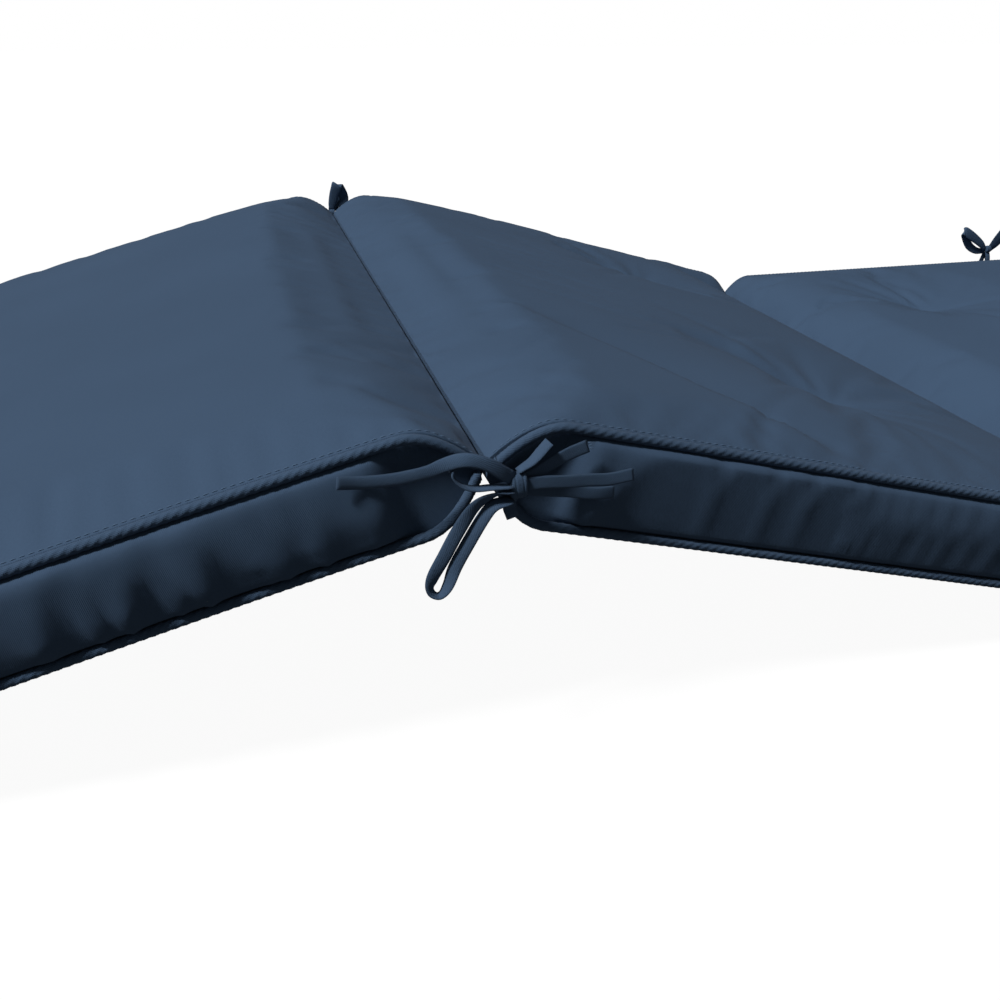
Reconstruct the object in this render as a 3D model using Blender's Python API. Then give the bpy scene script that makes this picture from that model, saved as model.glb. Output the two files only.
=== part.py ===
"""Sun lounger cushion: three filled, tufted sections hinged at two sewn folds.

Metres, +Z up. X runs along the cushion from its foot end to its head end and Y across it. The
cushion lies on its back with its knee fold raised: the back section and the foot end lie flat on the
surface at Z = 0, and the seat section climbs from fold 2 to fold 1. The origin is on that surface,
under the middle of the cushion.

Each section has coordinates of its own: s, the distance along it from a fold, y across it, and n,
the height over its middle plane.
"""
import math
from collections import namedtuple

import bmesh
import bpy
import numpy as np

for old in list(bpy.data.objects):
    bpy.data.objects.remove(old, do_unlink=True)

# Driving dimensions of the cushion
WIDTH = 0.600              # over the piping
THICK = 0.047              # over the piping
FOOT_LENGTH = 0.620
SEAT_LENGTH = 0.405
BACK_LENGTH = 0.870
FOOT_SLOPE = math.radians(12.0)     # how the foot section leaves fold 1
SEAT_SLOPE = math.radians(14.7)
FOOT_REACH = 0.440         # level distance from fold 1 to where the foot section lies flat
FOOT_PULL = (0.140, 0.060)          # how far the two ends of that sweep stay straight
CORNER = 0.012             # plan radius of the boxed corners

# The sewn edges
GAP = 0.0003               # left between touching pieces
PIPING = 0.0045            # diameter of the corded piping
SEAM = 0.004               # thickness where two sections are sewn together
TAPER = 0.028              # length over which a section thins down to that seam
REST_CROWN = 0.0018        # how far the underside bulges past its seam line
CROWN = 0.0075             # how far the top bulges past its seam line
CROWN_EDGE = 0.035         # how quickly that bulge rises from a seam
RAMP_RISE = 0.27           # slope of the seat's long ramp up from fold 2
RAMP_SOFT = (0.2, 0.008)   # how softly that ramp meets the crown: share of the distance, and most
RAMP_SIDE = (0.005, 0.045)          # from the long edges, where the ramp takes over

# The tufts: rows along each section, and the same two places across
TUFT_Y = 0.150
FOOT_TUFTS = (0.420,)
SEAT_TUFTS = (0.250,)
BACK_TUFTS = (0.140, 0.435, 0.730)
TUFT_DEPTH = 0.017
TUFT_SPREAD = 0.038
UNDER_TUFT = (0.007, 0.060)         # depth and radius of the shallow hollow underneath

# The fabric ties
TIE_WIDTH = 0.0055
TIE_THICK = 0.0012
LOOP_WIDTH = 0.0100        # the far bows' loops open out to this in their middle
BACK_TIE_AT = 0.320        # along the back section, where its own ties are sewn

# Rings of points round a section, from the top seam over the boxing to the bottom seam: the inset
# from the piping's outer line, and the height as a share of the section's half thickness there
RINGS = (
    (0.0050, 1.00),
    (0.0046, 0.84),
    (0.0008, 0.74),
    (0.0002, 0.00),
    (0.0008, -0.74),
    (0.0046, -0.84),
    (0.0050, -1.00),
)
COVER_INSET = RINGS[0][0]
PIPING_DROP = 0.00145      # from the cover's edge down to the piping's middle
COVER_DROP = PIPING / 2 - PIPING_DROP
HALF_EDGE = THICK / 2 - COVER_DROP
BOXING_FILL = (0.030, 0.045)        # from a fold, where the boxing fills out to its full width
PIPING_SIDES = 6
PIPING_START = 0.0028      # from a fold, where the piping runs begin
PIPING_LAG = 0.002         # how far the piping climbs behind the cover's edge, to close at a fold
PIPING_LOW = PIPING / 2 + GAP       # the least height of its middle over the middle plane
CORNER_TURNS = (math.radians(22.5), math.radians(45.0), math.radians(67.5))

MM = 0.001
SWEEP_STEPS = 400          # points that measure the foot section's sweep
SLOPE_STEP = 0.002         # distance over which its slope is read
SHARP = math.radians(50)            # edges sharper than this are not shaded smooth
FOLD_LINES = (0.006, 0.016)         # points this far from a fold follow its rounding
TUFT_LINE = 0.025          # points this far either side of a tuft
LINE_STEP = 0.065          # longest space between points on the cover
END_LINE = 0.045           # points this far inside an edge shape the rise of the crown
UNDER_EDGE = 0.020         # how soon the underside reaches its full bulge
RIBBON_STEPS = 2           # steps between two rows of a tie's route
KNOT_SIDES = 8
KNOT_RINGS = ((-1.0, 0.5), (-0.82, 0.88), (-0.35, 1.0), (0.35, 1.0), (0.82, 0.88), (1.0, 0.5))
BOW_KNOT = ((10.1, 7.9, -4.0), (3.4, 3.6, 5.3))     # middle and half size, in millimetres
FOLD_KNOT = ((0.0, 2.7, 0.0), (3.0, 3.4, 3.6))
BACK_KNOT = ((0.0, 4.6, 13.0), (3.0, 3.4, 3.6))

# The way a strand's width lies before its roll: along the cushion, outward, up
ALONG = (1, 0, 0)
OUTWARD = (0, 1, 0)
UP = (0, 0, 1)

# Routes of the ties in millimetres from where they are seated on the piping line: along, outward,
# up, and the roll of the ribbon in degrees
BOW_ROUTES = {
    "root": (UP, (
        (0.0, -4.4, 0.0, 0), (0.1, -1.5, 0.0, 0), (0.7, 1.4, -1.6, 0), (2.6, 3.8, -3.6, 0),
        (6.2, 5.4, -5.0, 0))),
    "strap": (ALONG, (
        (9.6, 1.1, -19.6, 0), (8.6, 1.3, -16.6, 0), (8.4, 2.2, -13.6, 0), (9.0, 3.4, -11.6, 0),
        (9.6, 4.4, -10.4, 0))),
    "tail_left": (UP, (
        (6.4, 9.9, 0.6, 0), (2.6, 11.2, 3.6, 0), (-2.2, 11.6, 7.0, 0), (-8.2, 10.6, 9.0, 10),
        (-13.2, 8.8, 8.7, 20), (-18.4, 6.6, 6.4, 10), (-23.8, 5.4, 3.9, 0),
        (-31.8, 4.4, 2.2, 0), (-39.8, 3.6, 1.3, 0), (-49.4, 3.4, 1.5, 0), (-57.8, 4.4, 2.7, 0))),
    "ring": (OUTWARD, (
        (6.4, 4.6, 0.9, 0), (1.5, 4.4, 2.6, 0), (-5.0, 4.2, 3.8, 0), (-10.8, 4.6, 5.2, 0),
        (-14.6, 5.6, 4.0, 0), (-14.8, 6.6, 1.2, 0), (-11.8, 7.6, -2.0, 0), (-6.9, 8.0, -3.6, 0),
        (-1.1, 8.8, -3.4, 0), (5.9, 9.6, -3.2, 0))),
    "loop": (OUTWARD, (
        (6.4, 9.6, -5.6, 0), (0.5, 9.0, -6.8, 25), (-6.9, 9.0, -10.6, 50),
        (-13.6, 9.0, -20.0, 62), (-19.3, 9.0, -30.4, 62), (-24.2, 9.0, -39.3, 50),
        (-25.2, 9.2, -44.6, 20), (-22.2, 9.6, -47.2, 0), (-18.8, 9.8, -43.6, 30),
        (-15.4, 9.4, -35.6, 62), (-10.4, 9.2, -26.6, 62), (-3.6, 9.0, -15.4, 50),
        (0.6, 8.8, -11.0, 35), (6.6, 8.4, -10.0, 10))),
    "tail_high": (UP, (
        (14.3, 7.0, -1.8, 0), (17.5, 6.8, -0.6, 0), (22.9, 6.2, 2.2, 0), (30.6, 5.4, 5.5, 0),
        (38.4, 5.6, 8.2, 0))),
    "tail_tip": (OUTWARD, (
        (11.2, 7.6, 2.4, 0), (15.4, 7.4, 4.8, 10), (18.5, 7.0, 7.6, 20), (20.9, 6.6, 10.0, 20),
        (22.7, 6.4, 11.8, 20))),
    "tail_mid": (UP, (
        (14.2, 8.9, -3.6, 0), (20.7, 9.0, -3.6, 0), (29.3, 8.8, -4.4, 0), (39.3, 8.4, -5.0, 0),
        (47.0, 8.6, -5.4, 0), (56.3, 9.4, -4.0, 0))),
    "tail_low": (UP, (
        (13.2, 5.6, -6.6, 0), (17.0, 5.2, -7.6, 0), (23.0, 4.6, -9.2, 0), (32.0, 4.6, -10.6, 0),
        (41.0, 5.0, -12.4, 0), (50.0, 5.8, -12.6, 0))),
}
STANDING_LOOPS = {
    "loop_left": ((0.95, 0, -0.3), (
        (0.2, 2.8, 4.3, 0), (1.2, 2.9, 9.0, 0), (3.2, 2.9, 16.0, 0), (5.6, 2.9, 22.4, 0),
        (6.8, 3.9, 24.6, 0), (8.0, 5.0, 22.0, 0), (11.2, 5.0, 16.0, 0), (12.2, 4.7, 11.0, 0),
        (8.6, 3.8, 5.6, 0))),
    "loop_right": ((0.85, 0, -0.5), (
        (0.6, 5.8, 4.3, 0), (3.2, 7.8, 9.6, 0), (6.8, 8.8, 14.0, 0), (8.6, 9.8, 15.8, 0),
        (8.6, 10.9, 12.6, 0), (6.2, 10.6, 8.0, 0), (3.0, 9.2, 3.6, 0))),
    "tail_left": (ALONG, (
        (-1.6, 4.0, -4.2, 0), (-5.0, 4.2, -12.0, 0), (-7.0, 3.8, -22.0, 0), (-8.0, 3.4, -34.0, 0),
        (-7.4, 3.4, -44.0, 0))),
}
LEANING_LOOPS = {
    "root": (ALONG, (
        (0.0, 1.1, -1.5, 0), (0.0, 1.2, 2.0, 0), (0.0, 2.2, 5.6, 0), (0.0, 3.8, 8.8, 0))),
    "loop_left": ((0.48, 0, 0.87), (
        (-5.0, 4.2, 13.6, 0), (-10.0, 3.6, 18.6, 0), (-18.5, 3.4, 24.6, 0), (-28.0, 3.6, 30.4, 0),
        (-33.4, 5.0, 33.0, 0), (-30.4, 6.4, 27.8, 0), (-23.5, 6.6, 17.6, 0), (-14.0, 6.4, 11.8, 0),
        (-5.2, 5.8, 10.8, 0))),
    "loop_right": ((-0.7, 0, 0.7), (
        (3.4, 4.4, 16.2, 0), (7.4, 4.0, 22.6, 0), (13.5, 3.8, 30.4, 0), (20.0, 4.0, 37.0, 0),
        (24.0, 5.4, 40.6, 0), (23.4, 6.8, 35.6, 0), (19.0, 6.8, 26.0, 0), (12.0, 6.6, 18.0, 0),
        (6.0, 6.2, 13.4, 0))),
    "tail_left": (ALONG, (
        (-1.8, 6.2, 8.6, 0), (-3.6, 6.6, 1.0, 0), (-7.0, 6.0, -9.0, 0), (-12.0, 5.0, -20.0, 0),
        (-19.0, 4.2, -30.0, 0), (-26.0, 3.8, -37.0, 0))),
    "tail_right": (ALONG, (
        (1.9, 8.0, 8.6, 0), (5.0, 8.4, 0.6, 0), (9.0, 7.4, -10.0, 0), (12.0, 6.0, -21.0, 0),
        (17.0, 5.0, -30.0, 0), (22.0, 4.4, -36.0, 0))),
}
SHORT_ENDS = {
    "tail_left": (UP, (
        (-3.5, 3.8, 0.6, 0), (-9.0, 4.4, 2.2, 0), (-17.0, 4.4, 1.6, 0), (-26.0, 4.0, -1.4, 0),
        (-34.0, 3.6, -6.6, 0), (-40.0, 3.4, -12.6, 0))),
    "tail_right": (UP, (
        (4.0, 4.0, -0.6, 0), (9.0, 4.6, 0.4, 0), (16.0, 4.8, 0.0, 0), (24.0, 4.4, -3.4, 0),
        (31.0, 4.0, -9.0, 0), (36.0, 3.6, -15.0, 0))),
}

MIDDLE_Z = THICK / 2 + 0.001        # middle plane of what lies flat
FOLD1_Z = MIDDLE_Z + SEAT_LENGTH * math.sin(SEAT_SLOPE)
SEAT_REACH = SEAT_LENGTH * math.cos(SEAT_SLOPE)


def bezier(t, ends):
    """Points of a cubic Bezier curve with four control points at the parameters t."""
    p0, p1, p2, p3 = [np.array(p) for p in ends]
    t = np.asarray(t)[:, None]
    return (1 - t) ** 3 * p0 + 3 * t * (1 - t) ** 2 * p1 + 3 * t ** 2 * (1 - t) * p2 + t ** 3 * p3


def foot_sweep():
    """The foot section's middle line, measured from fold 1: distances, and points (forward, up)."""
    start = (0.0, FOLD1_Z)
    leave = (FOOT_PULL[0] * math.cos(FOOT_SLOPE), FOLD1_Z - FOOT_PULL[0] * math.sin(FOOT_SLOPE))
    land = (FOOT_REACH - FOOT_PULL[1], MIDDLE_Z)
    flat = (FOOT_REACH, MIDDLE_Z)
    points = bezier(np.linspace(0, 1, SWEEP_STEPS), (start, leave, land, flat))
    run = np.concatenate([[0], np.cumsum(np.linalg.norm(np.diff(points, axis=0), axis=1))])
    end = flat[0] + FOOT_LENGTH - run[-1]
    points = np.vstack([points, (end, MIDDLE_Z)])
    return np.append(run, FOOT_LENGTH), points


FOOT_RUN, FOOT_POINTS = foot_sweep()
FOLD1_X = (FOOT_POINTS[-1, 0] - SEAT_REACH - BACK_LENGTH) / 2
FOLD2_X = FOLD1_X + SEAT_REACH


def place_foot(s, y, n):
    """World points of the foot section, which runs from fold 1 towards -X."""
    s = np.asarray(s, float)
    at, before, after = [np.stack([np.interp(d, FOOT_RUN, axis) for axis in FOOT_POINTS.T], -1)
                         for d in (s, np.maximum(s - SLOPE_STEP, 0),
                                   np.minimum(s + SLOPE_STEP, FOOT_LENGTH))]
    along = after - before
    along /= np.linalg.norm(along, axis=-1, keepdims=True)
    return np.stack([FOLD1_X - at[..., 0] + n * along[..., 1],
                     y + 0 * s,
                     at[..., 1] + n * along[..., 0]], -1)


def place_seat(s, y, n):
    """World points of the seat section, which falls from fold 1 towards +X."""
    s = np.asarray(s, float)
    return np.stack([FOLD1_X + s * math.cos(SEAT_SLOPE) + n * math.sin(SEAT_SLOPE),
                     y + 0 * s,
                     FOLD1_Z - s * math.sin(SEAT_SLOPE) + n * math.cos(SEAT_SLOPE)], -1)


def place_back(s, y, n):
    """World points of the back section, which lies level from fold 2 towards +X."""
    s = np.asarray(s, float)
    return np.stack([FOLD2_X + s, y + 0 * s, MIDDLE_Z + n + 0 * s], -1)


def seam_clear(bend):
    """How far a section stops from its fold, so that two seam faces keep the gap at any height."""
    return GAP / 2 + SEAM / 2 * math.tan(bend / 2)


FOLD1_CLEAR = seam_clear(FOOT_SLOPE + SEAT_SLOPE)
FOLD2_CLEAR = seam_clear(SEAT_SLOPE)

# first and second are how far a section stops from its two folds; second is None where it ends in
# boxing instead
Section = namedtuple("Section", "place length tufts first second")
SECTIONS = {
    "foot": Section(place_foot, FOOT_LENGTH, FOOT_TUFTS, FOLD1_CLEAR, None),
    "seat": Section(place_seat, SEAT_LENGTH, SEAT_TUFTS, FOLD1_CLEAR, FOLD2_CLEAR),
    "back": Section(place_back, BACK_LENGTH, BACK_TUFTS, FOLD2_CLEAR, None),
}


def material(name, colour, roughness):
    made = bpy.data.materials.new(name)
    made.use_nodes = True
    shader = made.node_tree.nodes["Principled BSDF"]
    shader.inputs["Base Color"].default_value = (*colour, 1)
    shader.inputs["Roughness"].default_value = roughness
    return made


COVER = material("navy_cotton", (0.045, 0.078, 0.125), 0.9)
CORDED = material("piping_cotton", (0.050, 0.084, 0.133), 0.9)
TIE = material("tie_cotton", (0.042, 0.070, 0.112), 0.9)


def add_object(name, points, faces, finish):
    """One closed mesh object with its faces pointing out, from world points."""
    mesh = bpy.data.meshes.new(name)
    mesh.from_pydata([tuple(p) for p in points], [], faces)
    mesh.materials.append(finish)
    shell = bmesh.new()
    shell.from_mesh(mesh)
    bmesh.ops.recalc_face_normals(shell, faces=shell.faces)
    shell.to_mesh(mesh)
    shell.free()
    mesh.shade_smooth()
    mesh.set_sharp_from_angle(angle=SHARP)
    made = bpy.data.objects.new(name, mesh)
    bpy.context.collection.objects.link(made)
    return made


def filled(stops, step):
    """The stops in order, with each space between them filled evenly so that none is over step."""
    out = [stops[0]]
    for low, high in zip(stops, stops[1:]):
        count = max(1, math.ceil((high - low) / step))
        out += [low + (high - low) * k / count for k in range(1, count + 1)]
    return np.array(out)


def corner_offsets():
    """Along and across offsets of the cover's edge round a boxed corner, from the corner's centre."""
    radius = CORNER - COVER_INSET
    return [(radius * math.sin(turn), radius * math.cos(turn)) for turn in CORNER_TURNS]


def lines_along(part):
    """Where a section's points stand along it: close together at folds, tufts and corners."""
    near_fold = (*FOLD_LINES, *BOXING_FILL)
    stops = [part.first, *near_fold]
    for row in part.tufts:
        stops += [row - TUFT_LINE, row, row + TUFT_LINE]
    if part.second is None:
        turned = part.length - CORNER + corner_offsets()[0][0]
        stops += [part.length - END_LINE, part.length - CORNER, turned, part.length - COVER_INSET]
    else:
        stops += [part.length - d for d in reversed(near_fold)] + [part.length - part.second]
    return filled(stops, LINE_STEP)


def lines_across():
    """Where the points stand across every section, the same on both sides of its middle."""
    turned = WIDTH / 2 - CORNER + corner_offsets()[2][1]
    half = filled([0, TUFT_Y - TUFT_LINE, TUFT_Y, TUFT_Y + TUFT_LINE, WIDTH / 2 - END_LINE,
                   WIDTH / 2 - CORNER, turned, WIDTH / 2 - COVER_INSET], LINE_STEP)
    return np.concatenate([-half[:0:-1], half])


def half_edge(part, s, lag=0.0):
    """Half thickness at the seam line: it climbs in a parabola from each sewn fold."""
    def climb(distance):
        share = np.clip((distance - lag) / TAPER, 0, 1)
        return 1 - (1 - share) ** 2
    shape = climb(s - part.first)
    if part.second is not None:
        shape = shape * climb(part.length - part.second - s)
    return SEAM / 2 + (HALF_EDGE - SEAM / 2) * shape


def boxing_fullness(part, s):
    """0 where the boxing is drawn in at a fold, 1 where it stands out at full width."""
    start, full = BOXING_FILL
    share = np.clip((s - start) / (full - start), 0, 1)
    if part.second is not None:
        share = share * np.clip((part.length - start - s) / (full - start), 0, 1)
    return share * share * (3 - 2 * share)


def edge_distances(part, s, y):
    """Distances inside the cover's edge: from the nearer long side, and from both ends."""
    last = COVER_INSET if part.second is None else part.second
    return [np.clip(d, 0, None)
            for d in (WIDTH / 2 - COVER_INSET - np.abs(y), s - part.first, part.length - last - s)]


def tuft_distances(part, s, y):
    """Distances from each tuft of a section."""
    return [np.hypot(s - row, y - side) for row in part.tufts for side in (-TUFT_Y, TUFT_Y)]


def top_bulge(part, s, y):
    """How far the top stands past its seam line: a crown that the tufts pull down in cones."""
    rise = np.prod([1 - np.exp(-d / CROWN_EDGE) for d in edge_distances(part, s, y)], axis=0)
    pull = sum(TUFT_DEPTH * np.exp(-d / TUFT_SPREAD) for d in tuft_distances(part, s, y))
    return rise * (CROWN - pull)


def top_height(part, s, y):
    """Height of the top. Between its long edges the seat falls to fold 2 in a ramp: the softened
    lesser of ramp and crown, (a + b - sqrt((a - b)^2 + k^2)) / 2."""
    top = half_edge(part, s) + top_bulge(part, s, y)
    if part.second is None:
        return top
    across, _, before = edge_distances(part, s, y)
    ramp = SEAM / 2 + RAMP_RISE * before
    soft = np.minimum(RAMP_SOFT[0] * before, RAMP_SOFT[1])
    lesser = (top + ramp - np.sqrt((top - ramp) ** 2 + soft ** 2)) / 2
    share = np.clip((across - RAMP_SIDE[0]) / (RAMP_SIDE[1] - RAMP_SIDE[0]), 0, 1)
    return top + share * share * (3 - 2 * share) * (lesser - top)


def under_bulge(part, s, y):
    """How far the underside stands past its seam line: level, with a shallow hollow at each tuft."""
    rise = np.prod([np.clip(d / UNDER_EDGE, 0, 1) for d in edge_distances(part, s, y)], axis=0)
    depth, reach = UNDER_TUFT
    pull = sum(depth * np.clip(1 - (d / reach) ** 2, 0, 1) ** 2 for d in tuft_distances(part, s, y))
    return rise * REST_CROWN - pull


def border(rows, columns):
    """Grid places (row, column) once round a section: near side, end, far side, first fold."""
    return ([(i, 0) for i in range(rows)]
            + [(rows - 1, j) for j in range(1, columns)]
            + [(i, columns - 1) for i in range(rows - 2, -1, -1)]
            + [(0, j) for j in range(columns - 2, 0, -1)])


def plan(part):
    """Plan of a section: s and y of its cover's grid, the outward directions at its border, and how
    far the boxing fills out there."""
    s, y = np.meshgrid(lines_along(part), lines_across(), indexing="ij")
    rows, columns = s.shape
    out = np.zeros((rows, columns, 2))
    out[:, 0, 1] = -1
    out[:, -1, 1] = 1
    full = boxing_fullness(part, s)
    if part.second is None:
        out[-1] = (1, 0)
        for side, j in ((-1, 0), (1, columns - 1)):
            places = ((rows - 2, j), (rows - 1, j), (rows - 1, j - side))
            for place, turn, offset in zip(places, CORNER_TURNS, corner_offsets()):
                s[place] = part.length - CORNER + offset[0]
                y[place] = side * (WIDTH / 2 - CORNER + offset[1])
                out[place] = (math.sin(turn), side * math.cos(turn))
    return s, y, out, full


def section(name):
    """One filled section: crowned top, level underside, and boxing notched for the piping."""
    part = SECTIONS[name]
    s, y, out, full = plan(part)
    rows, columns = s.shape
    edge = half_edge(part, s)
    top = top_height(part, s, y)
    under = -edge - under_bulge(part, s, y)
    at = tuple(np.array(border(rows, columns)).T)
    top[at] = edge[at]
    under[at] = -edge[at]

    grid = np.arange(rows * columns).reshape(rows, columns)
    count = len(at[0])
    points = [part.place(s, y, top).reshape(-1, 3), part.place(s, y, under).reshape(-1, 3)]
    rings = [grid[at]]
    for inset, level in RINGS[1:-1]:
        move = (COVER_INSET - inset) * full[at][:, None] * out[at]
        points.append(part.place(s[at] + move[:, 0], y[at] + move[:, 1], level * edge[at]))
        rings.append(2 * grid.size + (len(rings) - 1) * count + np.arange(count))
    rings.append(grid.size + grid[at])

    faces = []
    for i in range(rows - 1):
        for j in range(columns - 1):
            cell = [grid[i, j], grid[i + 1, j], grid[i + 1, j + 1], grid[i, j + 1]]
            faces.append(cell)
            faces.append([grid.size + k for k in reversed(cell)])
    for upper, lower in zip(rings, rings[1:]):
        for k in range(count):
            after = (k + 1) % count
            faces.append([upper[k], lower[k], lower[after], upper[after]])
    return add_object(name + "_pad", np.concatenate(points), faces, COVER)


def tube(name, path, normals, finish):
    """A round cord along path, with flat ends; normals point out of the cushion's plane."""
    along = np.gradient(path, axis=0)
    along /= np.linalg.norm(along, axis=1, keepdims=True)
    across = np.cross(along, normals)
    across /= np.linalg.norm(across, axis=1, keepdims=True)
    up = np.cross(across, along)
    rings = [path + PIPING / 2 * (math.cos(turn) * across + math.sin(turn) * up)
             for turn in (2 * math.pi * k / PIPING_SIDES for k in range(PIPING_SIDES))]
    points = np.stack(rings, 1).reshape(-1, 3)
    return add_object(name, points, loft_faces(len(path), PIPING_SIDES), finish)


def loft_faces(stations, sides):
    """Faces between the rings of a loft, with one face across each end."""
    faces = [list(range(sides)), [(stations - 1) * sides + k for k in reversed(range(sides))]]
    for i in range(stations - 1):
        for k in range(sides):
            after = (k + 1) % sides
            low, high = i * sides, (i + 1) * sides
            faces.append([low + k, high + k, high + after, low + after])
    return faces


def piping(name, part, places, level):
    """A run of piping along places of a section's border, at its top seam (1) or bottom seam (-1)."""
    s, y, out, _ = plan(part)
    at = tuple(np.array(places).T)
    last = part.length if part.second is None else part.length - PIPING_START
    run = np.clip(s[at], PIPING_START, last)
    lift = level * np.maximum(half_edge(part, run, PIPING_LAG) - PIPING_DROP, PIPING_LOW)
    move = (COVER_INSET - PIPING / 2) * out[at]
    path = part.place(run + move[:, 0], y[at] + move[:, 1], lift)
    normals = part.place(run + move[:, 0], y[at] + move[:, 1], lift + MM) - path
    return tube(name, path, normals, CORDED)


def piping_runs(name):
    """The runs round one section: three sides in one piece, or each long side alone."""
    part = SECTIONS[name]
    rows, columns = plan(part)[0].shape
    near = [(i, 0) for i in range(rows)]
    end = [(rows - 1, j) for j in range(1, columns - 1)]
    far = [(i, columns - 1) for i in reversed(range(rows))]
    for level, word in ((1, "top"), (-1, "bottom")):
        if part.second is None:
            piping(name + "_piping_" + word, part, near + end + far, level)
        else:
            piping(name + "_piping_near_" + word, part, near, level)
            piping(name + "_piping_far_" + word, part, far, level)


def smooth(route, per_span):
    """A Catmull-Rom curve through the rows of route, per_span steps between each two rows."""
    rows = np.array(route, float)
    rows = np.vstack([2 * rows[0] - rows[1], rows, 2 * rows[-1] - rows[-2]])
    t = np.arange(per_span)[:, None] / per_span
    spans = [0.5 * (2 * b + (c - a) * t + (2 * a - 5 * b + 4 * c - d) * t ** 2
                    + (3 * b - a - 3 * c + d) * t ** 3)
             for a, b, c, d in zip(rows, rows[1:], rows[2:], rows[3:])]
    return np.vstack([*spans, rows[-2:-1]])


def tie_place(seat, side, along, outward, up):
    """World points from millimetres along, outward and up from a tie's seat on the near (-1) or
    far (1) piping line."""
    x, z = seat
    return np.stack([x + along * MM, side * (WIDTH / 2 + outward * MM), z + up * MM], -1)


def ribbon(name, seat, side, route, broad, widest):
    """A flat tie along route's rows: along, outward, up in millimetres, and its roll in degrees.

    broad is the way its width lies before the roll, and it opens to widest in its middle."""
    rows = smooth(route, RIBBON_STEPS)
    path = tie_place(seat, side, rows[:, 0], rows[:, 1], rows[:, 2])
    run = np.gradient(path, axis=0)
    run /= np.linalg.norm(run, axis=1, keepdims=True)
    lie = np.array(broad, float) * (1, side, 1)
    width = lie - (run @ lie)[:, None] * run
    width /= np.linalg.norm(width, axis=1, keepdims=True)
    face = np.cross(run, width)
    roll = np.radians(rows[:, 3])[:, None]
    width, face = (np.cos(roll) * width + np.sin(roll) * face,
                   np.cos(roll) * face - np.sin(roll) * width)
    half = (TIE_WIDTH + (widest - TIE_WIDTH) * np.sin(np.linspace(0, math.pi, len(path)))) / 2
    width *= half[:, None]
    corners = [path + a * width + b * TIE_THICK / 2 * face
               for a, b in ((-1, -1), (1, -1), (1, 1), (-1, 1))]
    points = np.stack(corners, 1).reshape(-1, 3)
    return add_object(name, points, loft_faces(len(path), 4), TIE)


def knot(name, seat, side, middle, half):
    """A pulled wrap knot: an upright barrel with its two ends drawn in."""
    turn = (np.arange(KNOT_SIDES) + 0.5) * 2 * math.pi / KNOT_SIDES
    rings = [tie_place(seat, side,
                       middle[0] + half[0] * share * np.cos(turn),
                       middle[1] + half[1] * share * np.sin(turn),
                       middle[2] + half[2] * level + 0 * turn)
             for level, share in KNOT_RINGS]
    return add_object(name, np.vstack(rings), loft_faces(len(KNOT_RINGS), KNOT_SIDES), TIE)


def tie(prefix, seat, side, wrap, routes):
    """A tie seated on the near (-1) or far (1) piping line: its knot, and its loops and ends."""
    knot(prefix + "_knot", seat, side, *wrap)
    for part, (broad, route) in routes.items():
        widest = LOOP_WIDTH if part.startswith("loop_") else TIE_WIDTH
        ribbon(prefix + "_" + part, seat, side, route, broad, widest)


for each in SECTIONS:
    section(each)
    piping_runs(each)
FOLD1 = (FOLD1_X, FOLD1_Z)
FOLD2 = (FOLD2_X, MIDDLE_Z)
BACK_SEAT = (FOLD2_X + BACK_TIE_AT, MIDDLE_Z + HALF_EDGE - PIPING_DROP)
tie("fold1_near", FOLD1, -1, BOW_KNOT, BOW_ROUTES)
tie("fold1_far", FOLD1, 1, FOLD_KNOT, STANDING_LOOPS)
for word, way in (("near", -1), ("far", 1)):
    tie("fold2_" + word, FOLD2, way, FOLD_KNOT, SHORT_ENDS)
    tie("back_" + word, BACK_SEAT, way, BACK_KNOT, LEANING_LOOPS)
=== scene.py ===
# %% [markdown]
# # A sun lounger cushion, sewn in numpy
# A lounger cushion is three flat bags of cotton, filled with fibre and sewn to each other along two
# folds, so that it bends with the bed it lies on. Each bag has a top, a bottom and a boxing strip
# between them, a corded piping in both seams, and stitches that pull its top down in tufts. This
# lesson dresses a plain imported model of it: the plain solids carry the sizes, and here each one gets
# the surface that a camera sees.
# We start by loading that model. Everything after it is in metres, with Z up.

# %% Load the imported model
import math
from collections import namedtuple

import bmesh
import bpy
import numpy as np
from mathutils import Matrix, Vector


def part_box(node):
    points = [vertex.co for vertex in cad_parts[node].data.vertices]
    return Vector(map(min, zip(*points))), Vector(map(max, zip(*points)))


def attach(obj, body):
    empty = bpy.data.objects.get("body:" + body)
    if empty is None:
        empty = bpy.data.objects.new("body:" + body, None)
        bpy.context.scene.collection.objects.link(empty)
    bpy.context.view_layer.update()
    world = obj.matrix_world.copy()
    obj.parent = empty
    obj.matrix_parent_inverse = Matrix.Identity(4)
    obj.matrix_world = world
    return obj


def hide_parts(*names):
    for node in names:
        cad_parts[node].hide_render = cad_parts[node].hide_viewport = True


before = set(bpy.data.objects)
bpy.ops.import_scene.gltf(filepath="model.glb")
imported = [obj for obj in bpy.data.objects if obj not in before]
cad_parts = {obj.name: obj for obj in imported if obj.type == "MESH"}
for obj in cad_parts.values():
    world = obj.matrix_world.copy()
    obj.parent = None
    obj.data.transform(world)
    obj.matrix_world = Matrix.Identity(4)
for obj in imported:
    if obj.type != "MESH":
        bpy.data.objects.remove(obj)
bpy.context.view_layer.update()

print("packed nodes:", len(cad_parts))

# %% [markdown]
# ## Sizes
# The folds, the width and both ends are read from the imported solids. The rest are the sewing sizes of
# such a cushion: how thick it is over its piping, how the boxing and the piping sit in the seam, and
# how the foot section sweeps down to the surface.

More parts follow.
